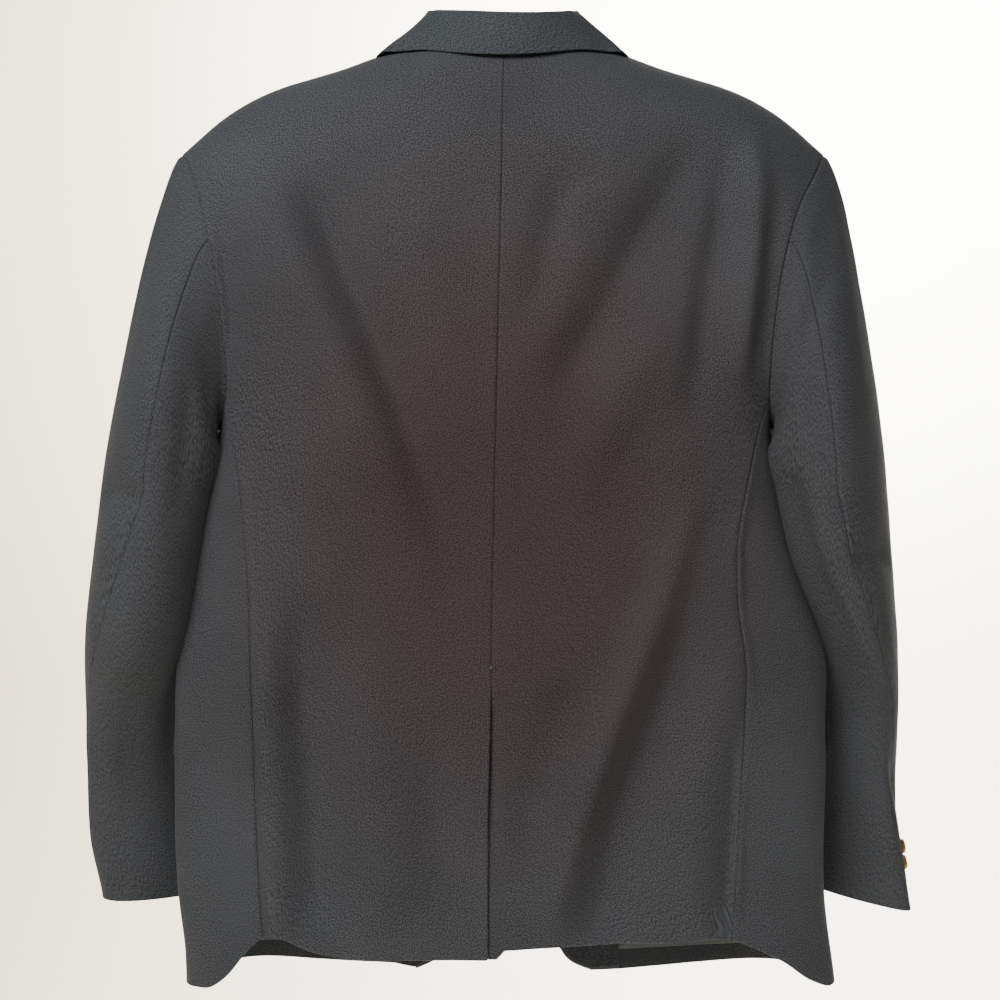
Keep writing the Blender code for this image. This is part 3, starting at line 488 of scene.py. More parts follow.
def back_points(side):
    """Half of the back: a blend of its four edges on the body's surface, moved out by its folds."""
    def across_top(index):
        across = side * np.interp(index, np.arange(7), BACK_COLUMNS)
        neck = np.abs(across) / NECK_HALF
        height = np.where(neck < 1, NECK_LOW + (ridge(NECK_HALF) - NECK_LOW) * neck ** 2, ridge(across))
        return np.stack([back_turn(across, height), height], -1)

    rough = outer_edge(side, "back", BACK_ANGLES, np.linspace(0, 19, 191))
    index = measured(body(*rough.T), closer(*BACK_ROWS)) / 10
    last = outer_edge(side, "back", BACK_ANGLES, index)
    column = 6 * closer(*BACK_ACROSS)
    down = (last[:, 1] - last[0, 1]) / (last[-1, 1] - last[0, 1])
    level = NECK_LOW + down * (hem_level(side * 1e-6) - NECK_LOW)
    first = np.stack([back_turn(through(level, BACK_SEAM["level"], BACK_SEAM["across"]), level), level], -1)
    top = across_top(column)
    top[0], top[-1] = first[0], last[0]
    turn, level = patch(first, last, top, hem_edge(first, last, column / 6), index / 19, column / 6)
    points, normal = body(turn, level), body_normal(turn, level)
    quiet = smooth((ridge(points[..., 0]) - points[..., 2]) / RIDGE_QUIET)
    quiet = quiet * smooth(to_last(points) / EDGE_QUIET + 0.15)
    out = back_relief(points) * quiet - seam_dip(points, ("top", "last"))
    from_seam = travel(points, 1)
    above_vent = smooth((level - VENT_TOP) / 0.006 + 1)
    out = out - above_vent * SEAM_DIP * bell(from_seam, SEAM_WIDTH)
    below = smooth((VENT_TOP - level) / 0.05)
    if side > 0:
        out = out + below * VENT_RAISE * bell(from_seam, RAISE_WIDTH)
    else:
        gape = below * (1 - 0.75 * smooth((VENT_TOP - 0.08 - level) / 0.10))
        out = out - gape * VENT_GAPE * bell(from_seam, GAPE_WIDTH)
        press_line = PRESS_NEAR + PRESS_MORE * smooth((VENT_TOP - level) / 0.24)
        out = out - below * PRESS_DEEP * bell(press_line - from_seam, PRESS_WIDTH)
    return points + normal * out[..., None]


for side in (1, -1):
    points = back_points(side)
    cloth("back_" + side_name(side), points, points * (1, 1, 0) + (0, 0, 0.05), wool)


# THE SIDE PANELS
# A narrow panel of the same twill under each arm, between the back and the front, open seams pressed flat.
# The back seam stands in a little furrow, and the skirt swings out over the hip.
SIDE_ANGLES = np.array((143, 151, 160, 170, 180, 190, 200, 209, 217), float)
SIDE_FOLDS = {
    1: ((3.0, 16, 20, (0.3, 0.2), ((-110, -420), (-108, -560), (-106, -760))),
        (-3.0, 14, 14, (0.4, 0.3), ((-76, -340), (-74, -430), (-78, -520))),
        (-2.5, 15, 12, (0.4, 0.2), ((-70, -540), (-72, -620), (-74, -750)))),
    -1: ((3.0, 16, 16, (0.3, 0.3), ((-88, -560), (-84, -640), (-86, -720))),
         (-3.0, 13, 14, (0.4, 0.3), ((-64, -340), (-60, -440), (-66, -560))),
         (-2.5, 14, 12, (0.4, 0.2), ((-42, -560), (-44, -660), (-40, -760))))}
SIDE_ROWS, SIDE_ACROSS, SIDE_MM = (120, 0.46), (48, 0.10), 1.25


def side_points(side):
    """The side panel: a blend of its two seams, the armhole and the hem, moved out by its folds. Its folds
    are placed by the turn round the body in degrees, taken as SIDE_MM millimetres each."""
    rough = np.linspace(0, 1, 101)
    step = measured(body(*seam(side, "back", rough).T), closer(*SIDE_ROWS)) / 100
    column = 8 * closer(*SIDE_ACROSS)
    top = armhole(side, np.interp(column, np.arange(9), SIDE_ANGLES))
    first, last = seam(side, "back", step), seam(side, "front", step)
    first[0], last[0] = top[0], top[-1]
    index = np.interp(step, np.concatenate([[0], SEAM_STEPS]), np.arange(10))
    turn, level = patch(first, last, top, hem_edge(first, last, column / 8), index / 9, column / 8)
    points, normal = body(turn, level), body_normal(turn, level)
    place = np.stack([-np.degrees(np.abs(turn)) * SIDE_MM, level * 1000], -1)
    edge = np.minimum(travel(points, 1), to_last(points))
    out = (creases(place, SIDE_FOLDS[side]) + 0.6 * unevenness(place, 7 + side)) * smooth(edge / EDGE_QUIET)
    out = out - seam_dip(points, ("first", "last", "top"))
    return points + normal * out[..., None]


for side in (1, -1):
    points = side_points(side)
    cloth("side_" + side_name(side), points, points * (1, 1, 0), wool)


# THE FRONTS
# The two fronts of the same twill, with a soft interlining down to the chest. The right one passes inside the
# left one at the middle, where the left is buttoned over it, and the corners are cut away in a curve.
BREAK_LEVEL = -0.420
FRONT_EDGE = table("level across", (
    (-0.790, 0.0780), (-0.784, 0.0640), (-0.770, 0.0510), (-0.735, 0.0290), (-0.680, 0.0040),
    (-0.600, -0.0170), (-0.500, -0.0195), (-0.420, -0.0120)))
FRONT_ANGLES = np.array((360, 354, 346, 334, 318, 303, 288, 270, 252, 234, 217), float)
FRONT_COLUMNS = np.array((SHOULDER_POINT, 0.244, 0.212, 0.182, 0.152, 0.124, 0.098, NECK_HALF))
FRONT_TUCK, TUCK_FROM, TUCK_TO = 0.0100, -0.150, -0.010
FRONT_FOLDS = (
    (-4.0, 26, 22, (0.3, 0.3), ((232, -110), (214, -190), (188, -270), (150, -350))),
    (3.0, 22, 26, (0.3, 0.4), ((196, -100), (178, -170), (150, -240))),
    (-3.5, 22, 20, (0.3, 0.3), ((208, -330), (196, -420), (190, -520))),
    (3.0, 24, 20, (0.4, 0.3), ((160, -330), (120, -390), (60, -424))),
    (-3.0, 18, 20, (0.4, 0.3), ((176, -400), (128, -432), (60, -446))),
    (-3.0, 24, 24, (0.4, 0.2), ((96, -470), (104, -600), (110, -740))),
    (3.0, 22, 26, (0.4, 0.2), ((60, -520), (66, -640), (78, -760))),
    (-4.0, 24, 26, (0.3, 0.3), ((-226, -105), (-206, -190), (-178, -280), (-140, -350))),
    (3.0, 20, 26, (0.3, 0.4), ((-190, -96), (-170, -170), (-146, -250))),
    (-3.5, 20, 22, (0.3, 0.3), ((-200, -340), (-190, -430), (-186, -520))),
    (3.0, 20, 24, (0.4, 0.3), ((-150, -340), (-112, -396), (-60, -430))),
    (-3.0, 24, 24, (0.4, 0.2), ((-100, -480), (-112, -610), (-116, -750))),
)
FRONT_ROWS, FRONT_ACROSS = (170, 0.80), (86, 0.28)


def front_turn(side, across, level):
    """Turn on the front; across is positive on the side's own half."""
    share = np.clip(np.abs(across) / half_width(level, side * across >= 0), 0, 1)
    return side * (np.pi - np.sign(across) * np.arcsin(share ** (PLAN_POWER / 2)))


def tucked(points, side):
    """How far the right front lies inside the body's surface near the middle."""
    return FRONT_TUCK * (side < 0) * smooth((points[..., 0] - TUCK_FROM) / (TUCK_TO - TUCK_FROM))


def front_relief(points, side):
    """Folds and unevenness of a front, quiet beside the middle, where it is interlined."""
    place = points[..., (0, 2)] * 1000
    out = creases(place, FRONT_FOLDS) + 0.6 * unevenness(place, 11)
    quiet = smooth((ridge(points[..., 0]) - points[..., 2]) / RIDGE_QUIET)
    return out * quiet * smooth((side * points[..., 0] + 0.01) / 0.05)


def front_points(side):
    """A front: a blend of the shoulder, the armhole with the side seam, the roll line with the front edge,
    and the hem."""
    def front_edge(index):
        share = np.clip(index / 12, 0, 1)
        edge_level = through(np.clip(index, 12, 19), np.arange(12, 20), FRONT_EDGE["level"][::-1])
        level = np.where(index <= 12, ridge(NECK_HALF) + share * (BREAK_LEVEL - ridge(NECK_HALF)), edge_level)
        across = np.where(index <= 12, NECK_HALF + share * (FRONT_EDGE["across"][-1] - NECK_HALF),
                          through(edge_level, FRONT_EDGE["level"], FRONT_EDGE["across"]))
        return np.stack([front_turn(side, across, level), level], -1)

    rough = outer_edge(side, "front", FRONT_ANGLES, np.linspace(0, 19, 191))
    index = measured(body(*rough.T), closer(*FRONT_ROWS)) / 10
    column = 7 * closer(*FRONT_ACROSS)
    across = np.interp(column, np.arange(8), FRONT_COLUMNS)
    first, last = outer_edge(side, "front", FRONT_ANGLES, index), front_edge(index)
    top = np.stack([front_turn(side, across, ridge(across)), ridge(across)], -1)
    top[0], top[-1] = first[0], last[0]
    turn, level = patch(first, last, top, hem_edge(first, last, column / 7), index / 19, column / 7)
    points, normal = body(turn, level), body_normal(turn, level)
    out = front_relief(points, side) * smooth(travel(points, 1) / EDGE_QUIET) - tucked(points, side)
    out = out - seam_dip(points, ("first", "top"))
    return points + normal * out[..., None]


for side in (1, -1):
    points = front_points(side)
    cloth("front_" + side_name(side), points, points * (1, 1, 0) + (0, 0, 0.05), wool)


# THE SLEEVES
# Each sleeve has a top and an under piece of the twill, joined by the elbow seam behind and one in front. It
# is eased into the armhole over a thin pad, bends forward at the elbow, and ends in a plain hemmed cuff.
SLEEVE = {1: table("level outer inner middle depth lean turn elbow", (
    (-0.72, 0.3590, 0.2500, -0.068, 0.036, 0.000, 0.018, 15.0),
    (-0.66, 0.3665, 0.2620, -0.065, 0.041, 0.000, 0.016, 20.0),
    (-0.60, 0.3685, 0.2770, -0.057, 0.048, 0.000, 0.012, 28.0),
    (-0.54, 0.3670, 0.2860, -0.037, 0.053, 0.000, 0.006, 40.0),
    (-0.48, 0.3630, 0.2790, -0.010, 0.058, 0.008, 0.000, 55.0),
    (-0.42, 0.3565, 0.2685, -0.004, 0.062, 0.014, 0.000, 66.0),
    (-0.36, 0.3480, 0.2560, -0.002, 0.064, 0.014, 0.000, 80.0))),
    -1: table("level outer inner middle depth lean turn elbow", (
        (-0.72, 0.3630, 0.2540, -0.068, 0.036, 0.000, 0.018, 12.0),
        (-0.66, 0.3560, 0.2620, -0.065, 0.042, 0.000, 0.016, 18.0),
        (-0.60, 0.3505, 0.2760, -0.056, 0.049, 0.000, 0.012, 35.0),
        (-0.54, 0.3465, 0.2860, -0.036, 0.056, 0.000, 0.006, 56.0),
        (-0.48, 0.3420, 0.2775, -0.010, 0.062, 0.008, 0.000, 72.0),
        (-0.42, 0.3380, 0.2545, -0.004, 0.066, 0.014, 0.000, 79.0),
        (-0.36, 0.3330, 0.2400, -0.002, 0.066, 0.014, 0.000, 86.0)))}
CUFF, HEAD_FOOT = SLEEVE[1]["level"][[0, -1]]   # levels of the cuff and of the foot of the sleeve head
CUFF_SLANT = {1: 0.002, -1: 0.012}
FIRST_ANGLE, LAST_ANGLE = -72.0, 72.0       # the top piece's seams, round the sleeve
HEAD_REACH, UNDERARM_REACH = 0.040, 0.015   # how strongly the cloth leaves the armhole, above and below
TANGENT_STEP, FALL_STEP = 7.0, 0.02         # steps for a slope, in degrees and in metres
# Folds of the sleeves: the place is the angle round the sleeve in degrees, and the distance down it in
# millimetres from the armhole's level
SLEEVE_FOLDS = {
    1: ((9.0, 34, 30, (0.35, 0.35), ((182, 30), (183, 120), (184, 290))),
        (12.0, 40, 34, (0.15, 0.3), ((178, 120), (182, 240), (184, 330), (184, 440), (180, 560))),
        (-5.0, 10, 12, (0.3, 0.3), ((10, 296), (50, 300), (84, 313))),
        (-4.0, 18, 14, (0.3, 0.4), ((96, 120), (112, 240), (118, 360))),
        (3.5, 20, 20, (0.3, 0.3), ((60, 80), (66, 200), (70, 330))),
        (-4.0, 16, 20, (0.4, 0.3), ((128, 460), (120, 540), (112, 640))),
        (3.0, 18, 16, (0.3, 0.3), ((72, 470), (70, 560), (64, 660))),
        (-3.0, 14, 14, (0.3, 0.3), ((-40, 380), (-20, 410), (10, 420)))),
    -1: ((9.0, 34, 30, (0.35, 0.35), ((182, 30), (183, 120), (184, 290))),
         (12.0, 40, 34, (0.15, 0.3), ((178, 120), (182, 240), (184, 330), (184, 440), (180, 580))),
         (-3.0, 16, 18, (0.25, 0.35), ((46, 50), (52, 90), (60, 150))),
         (-4.0, 18, 20, (0.3, 0.4), ((84, 80), (86, 160), (84, 260))),
         (3.0, 20, 20, (0.3, 0.4), ((58, 160), (62, 240), (66, 320))),
         (-5.5, 10, 14, (0.3, 0.3), ((10, 352), (46, 350), (80, 362))),
         (-9.0, 20, 18, (0.35, 0.15), ((70, 500), (62, 580), (48, 700))),
         (6.0, 16, 16, (0.3, 0.15), ((96, 520), (90, 600), (78, 700))),
         (-4.0, 16, 16, (0.4, 0.3), ((124, 220), (128, 340), (120, 450))),
         (-3.0, 14, 14, (0.3, 0.3), ((-40, 400), (-20, 430), (10, 440))))}
SLEEVE_FLAT = {(1, "top"): (0.24, 0.67, 0.10), (-1, "top"): (0.24, 0.67, 0.10),
               (1, "under"): (0.23, 0.60, 0.10), (-1, "under"): (0.25, 0.60, 0.11)}
HEAD_SHARE, SLEEVE_LENGTH = 0.45, 660       # the head's share of the rows, and the length for its folds in mm
SLEEVE_ROWS, SLEEVE_ACROSS = (156, 0.66), 88
NEAR_SEAM = np.array((0.5, 1.1, 1.9, 3.2))  # extra columns this many degrees from each seam
HEAD_BLEND = 0.006                          # the wall turns out of the body's direction within this
QUIET_TOP, QUIET_LESS = 0.050, 0.042        # folds start this far below the armhole, and less far underneath


def tube(side, angle, level):
    """The sleeve below its head: an ellipse at each level, leaning and turned by the table."""
    sizes = SLEEVE[side]
    size = {name: through(level, sizes["level"], column) for name, column in sizes.items()}
    cosine, sine = np.cos(np.radians(angle)), np.sin(np.radians(angle))
    foot = smooth((HEAD_FOOT - level) / (HEAD_FOOT - CUFF))
    across = (size["outer"] + size["inner"]) / 2 + (size["outer"] - size["inner"]) / 2 * cosine
    across = across - size["lean"] * sine
    out = size["middle"] + size["turn"] * cosine + size["depth"] * sine
    return np.stack([side * across, out, level - CUFF_SLANT[side] * foot * cosine], -1)


def sleeve_angles(angle, elbow):
    """Angles moved round so that the one at the armhole's elbow point follows the elbow seam."""
    on_top = FIRST_ANGLE + (angle - FIRST_ANGLE) * (elbow - FIRST_ANGLE) / (LAST_ANGLE - FIRST_ANGLE)
    below = elbow + (angle - LAST_ANGLE) * (FIRST_ANGLE + 360 - elbow) / (FIRST_ANGLE + 360 - LAST_ANGLE)
    return np.where(angle <= LAST_ANGLE, on_top, below)


def sleeve_head(side, angle, step):
    """From the armhole to the tube: a cubic that leaves the body outwards and ends downwards."""
    turn, level = np.moveaxis(armhole(side, angle % 360), -1, 0)
    start, normal = body(turn, level), body_normal(turn, level)
    ahead = body(*np.moveaxis(armhole(side, (angle + TANGENT_STEP) % 360), -1, 0))
    behind = body(*np.moveaxis(armhole(side, (angle - TANGENT_STEP) % 360), -1, 0))
    away = unit(np.cross(unit(ahead - behind), normal)) * side
    share = np.cos(np.radians(angle))[..., None]
    leave = away * HEAD_REACH * (1 + share) + normal * UNDERARM_REACH * (1 - share)
    top, elbow = HEAD_FOOT + 0 * angle, SLEEVE[side]["elbow"][-1]
    moved = sleeve_angles(angle, LAST_ANGLE + step * (elbow - LAST_ANGLE))
    end = tube(side, moved, top)
    span = np.linalg.norm(end - start, axis=-1, keepdims=True)
    fall = unit(tube(side, moved, top - FALL_STEP) - end) * span
    return cubic(step[..., None], start, leave, end, fall)


def sleeve_points(side, angle, row):
    """The head's rows by their step, then the tube's by level; row runs from 0 at the armhole to 1."""
    step = np.clip(row / HEAD_SHARE, 0, 1)
    level = HEAD_FOOT + np.clip((row - HEAD_SHARE) / (1 - HEAD_SHARE), 0, 1) * (CUFF - HEAD_FOOT)
    elbow = through(level, SLEEVE[side]["level"], SLEEVE[side]["elbow"])
    return np.where((row <= HEAD_SHARE)[..., None], sleeve_head(side, angle, step),
                    tube(side, sleeve_angles(angle, elbow), level))


def at_columns(grid, known, wanted):
    """A grid's rows read at other columns."""
    return np.stack([np.array([np.interp(wanted, known, line) for line in grid[..., axis]])
                     for axis in range(3)], -1)


for side in (1, -1):
    ring = np.linspace(FIRST_ANGLE, FIRST_ANGLE + 360, 241)
    angle, share = np.meshgrid(ring, closer(*SLEEVE_ROWS))
    whole = sleeve_points(side, angle, share)
    middle = whole[:, :-1].mean(1, keepdims=True)
    normal = face_normals(whole, whole - middle)
    normal[0] = body_normal(*np.moveaxis(armhole(side, ring % 360), -1, 0))
    blend = bell(travel(whole, 0), HEAD_BLEND)[..., None]
    normal = unit(normal * (1 - blend) + normal[:1] * blend)
    place = np.stack([angle, share * SLEEVE_LENGTH], -1)
    relief = creases(place, SLEEVE_FOLDS[side]) + 0.5 * unevenness(place * (0.7, 1.0), 17 + side)
    underarm = (1 - np.cos(np.radians(angle))) / 2
    relief = relief * smooth(travel(whole, 0) / (QUIET_TOP - QUIET_LESS * underarm ** 2))
    whole = whole + normal * relief[..., None]
    for part, low, high in (("top", FIRST_ANGLE, LAST_ANGLE), ("under", LAST_ANGLE, FIRST_ANGLE + 360)):
        columns = np.unique(np.concatenate([np.linspace(low, high, SLEEVE_ACROSS), low + NEAR_SEAM,
                                            high - NEAR_SEAM]))
        points, outward = at_columns(whole, ring, columns), at_columns(normal, ring, columns)
        points = points - unit(outward) * seam_dip(points, ("first", "last", "top"))[..., None]
        flat = SLEEVE_FLAT[side, part]
        cloth(part + "_sleeve_" + side_name(side), points, outward, wool)


# THE COLLAR
# One strip of the twill over a felt undercollar, folded along its length. It stands up inside round the neck
# and falls outside over the neck seam, down to the gorge on each front.
COLLAR = table("seam_across seam_height fold_across fold_out fold_height edge_across edge_height edge_lift", (
    (0.0000, 0.0110, 0.0000, 0.0390, 0.0415, 0.000, 0.0020, 0.0034),
    (0.0240, 0.0125, 0.0260, 0.0370, 0.0430, 0.034, 0.0045, 0.0034),
    (0.0500, 0.0200, 0.0490, 0.0280, 0.0470, 0.066, 0.0105, 0.0030),
    (0.0620, 0.0248, 0.0595, 0.0190, 0.0500, 0.089, 0.0120, 0.0026),
    (0.0705, 0.0300, 0.0655, 0.0060, 0.0520, 0.106, 0.0115, 0.0024),
    (0.0690, 0.0120, 0.0665, -0.0130, 0.0360, 0.118, -0.0060, 0.0044),
    (0.0632, -0.0200, 0.0625, -0.0400, -0.0020, 0.130, -0.0440, 0.0044),
    (0.0562, -0.0545, 0.0560, -0.0545, -0.0480, 0.108, -0.0735, 0.0044)))
COLLAR_BACK_ROWS = 5                        # the rest of the table's rows lie on the fronts
COLLAR_CLOTH, COLLAR_FOLD = 0.0022, 0.0032  # the wall, and how far the fold is rounded
COLLAR_SEAM, SEAM_DROP = 0.0012, 0.003      # the neck seam stands off the body, and reaches below the neck
COLLAR_ALONG, COLLAR_ACROSS = 220, 56
STAND_COLUMN, MIDDLE_COLUMN, FALL_COLUMN = 14, 22, 30   # on the collar's stand, at its fold and on its fall
COLLAR_THIN, THIN_WIDTH = 0.5, 0.006        # the wall thins to this share of itself at the fall's edge
collar_wool = wool_twill("dark wool twill, collar", "#555a5f", "#17191c", "#ffffff", 0.04)


def collar_frame(side):
    """Points round the collar's section at each row of the table: neck seam, stand, fold, fall, edge."""
    rows = []
    for row in range(len(COLLAR["seam_across"])):
        size = {name: column[row] for name, column in COLLAR.items()}
        ends = []
        for across, level, out in ((size["seam_across"], size["seam_height"] - SEAM_DROP, COLLAR_SEAM),
                                   (size["edge_across"], size["edge_height"], size["edge_lift"])):
            on_back = row < COLLAR_BACK_ROWS
            turn = back_turn(side * across, level) if on_back else front_turn(side, across, level)
            tuck = 0.0 if on_back else tucked(body(turn, level), side)
            ends.append(body(turn, level) + body_normal(turn, level) * (out - tuck))
        low, edge = ends
        fold = np.array((side * size["fold_across"], size["fold_out"], size["fold_height"]))
        outward = unit(fold * (1, 1, 0)) * COLLAR_FOLD
        under = np.array((0, 0, -COLLAR_FOLD))
        fall = edge - fold
        rows.append([low, (low + fold - outward + under) / 2, fold - outward + under, fold,
                     fold + outward + under, fold + outward + under + fall * 0.33,
                     fold + outward * 0.6 + under * 0.5 + fall * 0.67, edge])
    return np.array(rows)


def finer(points, count, axis):
    """More points along a grid's rows or columns, on smooth curves through the ones it has."""
    known = np.arange(points.shape[axis], dtype=float)
    at = np.linspace(0, known[-1], count)
    points = np.moveaxis(points, axis, 0)
    slope = np.gradient(points, axis=0)
    i = np.clip(np.searchsorted(known, at) - 1, 0, len(known) - 2)
    t = (at - known[i]).reshape(-1, *[1] * (points.ndim - 1))
    return np.moveaxis(cubic(t, points[i], slope[i], points[i + 1], slope[i + 1]), 0, axis)


coarse = np.concatenate([collar_frame(-1)[:0:-1], collar_frame(1)])
points = finer(finer(coarse, COLLAR_ALONG, 0), COLLAR_ACROSS, 1)
normal = unit(np.cross(np.gradient(points, axis=0), np.gradient(points, axis=1)))
away = points[:, FALL_COLUMN] - points[:, STAND_COLUMN]
normal = normal * np.sign((normal[:, MIDDLE_COLUMN] * away).sum(-1))[:, None, None]
place = np.stack([travel(points, 0), travel(points, 1)], -1) * 1000
ease = smooth(travel(points, 1) / 0.02) * 0.5 * unevenness(place * (1.0, 0.8), 23)
points = points + normal * ease[..., None]
wall = COLLAR_CLOTH * (COLLAR_THIN + (1 - COLLAR_THIN) * smooth(to_last(points) / THIN_WIDTH))
cloth("collar", points, normal, collar_wool,
      thick=wall[..., None],
      uv=np.stack([travel(points, 0), travel(points, 1)], -1))


# THE LAPELS
# The top of each front turned back on itself, faced with the same twill, and rolled softly down to the
# fastening. It is notched below the collar's end.
LAPEL_LIFT, LAPEL_BELLY = 0.0037, 0.0035    # how far it stands off the front, and further at its middle
LAPEL = table("roll_level edge_across edge_level", (
    (-0.058, 0.1460, -0.0900), (-0.110, 0.1380, -0.1300), (-0.185, 0.1200, -0.2000),
    (-0.265, 0.0920, -0.2750), (-0.335, 0.0580, -0.3400), (-0.388, 0.0220, -0.3900),
    (-0.414, -0.0060, -0.4170)))


def over_front(side, across, level, out):
    """Points over a front, moved out from its folded surface."""
    turn = front_turn(side, across, level)
    points, normal = body(turn, level), body_normal(turn, level)
    out = out + front_relief(points, side) - tucked(points, side)
    return points + normal * np.asarray(out)[..., None]


for side in (1, -1):
    row = np.linspace(0, 6, 120)
    roll_level, edge_across, edge_level = (through(row, np.arange(7), LAPEL[name])[:, None]
                                           for name in ("roll_level", "edge_across", "edge_level"))
    share = closer(44, 0.08)[None]
    level = roll_level + (edge_level - roll_level) * share
    roll = NECK_HALF + (ridge(NECK_HALF) - roll_level) / (ridge(NECK_HALF) - BREAK_LEVEL) * (
        FRONT_EDGE["across"][-1] - NECK_HALF)
    across = roll + (edge_across - roll) * share
    along = row[:, None]
    belly = LAPEL_LIFT + LAPEL_BELLY * np.sin(np.pi * share) * smooth(along / 2) * smooth((6 - along) / 2)
    points = over_front(side, across, level, belly)
    cloth("lapel_" + side_name(side), points, points * (1, 1, 0), collar_wool)


# THE PATCH POCKETS AND FLAPS
# A square of the twill with rounded lower corners is stitched flat on each front, and a flap is sewn above
# its mouth and hangs free.
POCKET = {"turn": (95.5, 156.0), "top": -0.560, "bottom": -0.747, "corner": 0.018,
          "lift": (0.0035, 0.0035, 0.0035)}
FLAP = {"turn": (94.5, 157.0), "top": -0.542, "bottom": -0.592, "corner": 0.010,
        "lift": (0.0036, 0.0063, 0.0092)}
STITCH_IN, STITCH_WIDTH, STITCH_DEEP = 0.0050, 0.0011, 0.0006   # a line of stitches draws the cloth down
BRIDGE_FROM, BRIDGE_OVER = 110, 12          # hollows are bridged before this turn, over this much


def pocket_points(side, size):
    """An oblong in turn and level whose lower rows draw in by a quarter circle at each corner."""
    reach = np.radians(size["turn"])
    ends = body(side * reach, np.full(2, size["bottom"]))
    width, depth = np.linalg.norm(ends[1] - ends[0]) * 1.04, size["top"] - size["bottom"]
    corner = size["corner"] / depth
    share = np.concatenate([closer(60, depth) * (1 - corner), 1 - corner * np.linspace(0.97, 0, 26) ** 1.6])
    past = np.clip((share - 1 + corner) / corner, 0, 1)
    inset = size["corner"] * (1 - np.sqrt(1 - past ** 2)) / width
    across = closer(70, width)
    across = inset[:, None] + (1 - 2 * inset[:, None]) * across[None]
    turn = side * (reach[0] + (reach[1] - reach[0]) * across)
    level = (size["top"] - depth * share)[:, None] + 0 * turn
    points, normal = body(turn, level), body_normal(turn, level)
    lift = np.interp(share, (0, 0.30, 1), size["lift"])[:, None]
    relief = front_relief(points, side)
    relief = np.maximum(relief, relief * smooth((side * np.degrees(turn) - BRIDGE_FROM) / BRIDGE_OVER))
    lift = lift + relief - tucked(points, side) + 0.4 * unevenness(points[..., (0, 2)] * 1000, 31)
    edge = np.minimum(travel(points, 1), to_last(points))
    lift = lift - STITCH_DEEP * bell(edge - STITCH_IN, STITCH_WIDTH)
    return points + normal * lift[..., None]


for side in (1, -1):
    for name, size, flat, area in (("pocket_", POCKET, (0.18, 0.19), 0.033),
                                   ("flap_", FLAP, (0.19, 0.05), 0.009)):
        points = pocket_points(side, size)
        cloth(name + side_name(side), points, points * (1, 1, 0), wool)


# THE FACINGS AND LININGS
# Inside each front a strip of the twill backs the edge, and a smooth grey satin lining is sewn to it and ends
# above the hem.
FACING_EDGE, FREE_EDGE, INNER_GAP, LINING, LINING_GAP = 0.105, 0.0015, 0.0014, 0.0010, 0.0004
LINING_TOP, LINING_HEM, LINING_START = -0.330, 0.018, -0.780
LINING_PAST = 0.3                           # degrees short of the side seam
INSIDE_FROM, INSIDE_OVER = 119, 8           # the front's folds show inside from this turn, over this much
# Satin is woven so that its smooth yarns float on the surface: it shines along them. Its colour is mixed
# from two greys by a noise drawn out along the yarns: faint slubs, and painted sheen in the lighter streaks.
satin, tree, shader = new_material("satin lining")
weft = add_node(tree, "UVMap", {"uv_map": "cloth"}).outputs["UV"]
slubs_and_sheen = add_node(tree, "TexNoise", None, {"Vector": add_node(tree, "VectorMath", {"operation": "MULTIPLY"},
                {0: weft, 1: (60.0, 900.0, 1.0)}).outputs[0], "Scale": 1.0, "Detail": 3.0}).outputs["Fac"]
# partly painted sheen: the lighter grey streaks along the yarns stand for the satin's shine
sheen = add_node(tree, "Mix", {"data_type": "RGBA"},
                 {"Factor": slubs_and_sheen, 6: linear("#22262a"), 7: linear("#3a3f40")})
tree.links.new(sheen.outputs[2], shader.inputs["Base Color"])
bump = add_node(tree, "Bump", None, {"Height": slubs_and_sheen, "Strength": 0.2, "Distance": 0.0002})
tree.links.new(bump.outputs["Normal"], shader.inputs["Normal"])
shader.inputs["Roughness"].default_value = 0.38
shader.inputs["Anisotropic"].default_value = 0.5


def inside_front(side, turn, level):
    """Points inside a front, behind its folds by the gap."""
    points, normal = body(turn, level), body_normal(turn, level)
    edge = smooth((side * np.degrees(turn) - INSIDE_FROM) / INSIDE_OVER)
    out = front_relief(points, side) * edge - CLOTH - INNER_GAP - tucked(points, side)
    return points + normal * out[..., None]


def inside_points(side, first, last, down, across):
    """A grid inside a front, between two edges given as turn and level."""
    top, bottom = (first[i] + across[:, None] * (last[i] - first[i]) for i in (0, -1))
    return inside_front(side, *patch(first, last, top, bottom, down, across))


for side in (1, -1):
    row = np.linspace(0, 7, 90)
    level = through(row, np.arange(8), FRONT_EDGE["level"][::-1] + FREE_EDGE)
    edge = through(row, np.arange(8), FRONT_EDGE["across"][::-1] + FREE_EDGE)
    foot = hem_level(front_turn(side, FACING_EDGE, level[-1])) + FREE_EDGE
    first = np.stack([front_turn(side, edge, level), level], -1)
    last_level = np.linspace(level[0], foot, len(level))
    last = np.stack([front_turn(side, FACING_EDGE, last_level), last_level], -1)
    points = inside_points(side, first, last, row / 7, np.linspace(0, 1, 30))
    cloth("facing_" + side_name(side), points, -points * (1, 1, 0), wool,
          thick=-LINING)
    start = FACING_EDGE + LINING_GAP
    share = np.linspace(0, 1, 90)
    first_foot = hem_level(front_turn(side, start, LINING_START)) + LINING_HEM
    last_foot = hem_level(side * np.radians(SIDE_SEAMS["front"][1])) + LINING_HEM
    level = LINING_TOP + share * (first_foot - LINING_TOP)
    first = np.stack([front_turn(side, start, level), level], -1)
    level = LINING_TOP + share * (last_foot - LINING_TOP)
    turn = np.radians(through(level, SIDE_SEAMS["level"], SIDE_SEAMS["front"]) + LINING_PAST)
    last = np.stack([side * turn, level], -1)
    points = inside_points(side, first, last, share, np.linspace(0, 1, 50))
    cloth("lining_" + side_name(side), points, -points * (1, 1, 0), satin,
          thick=-LINING)


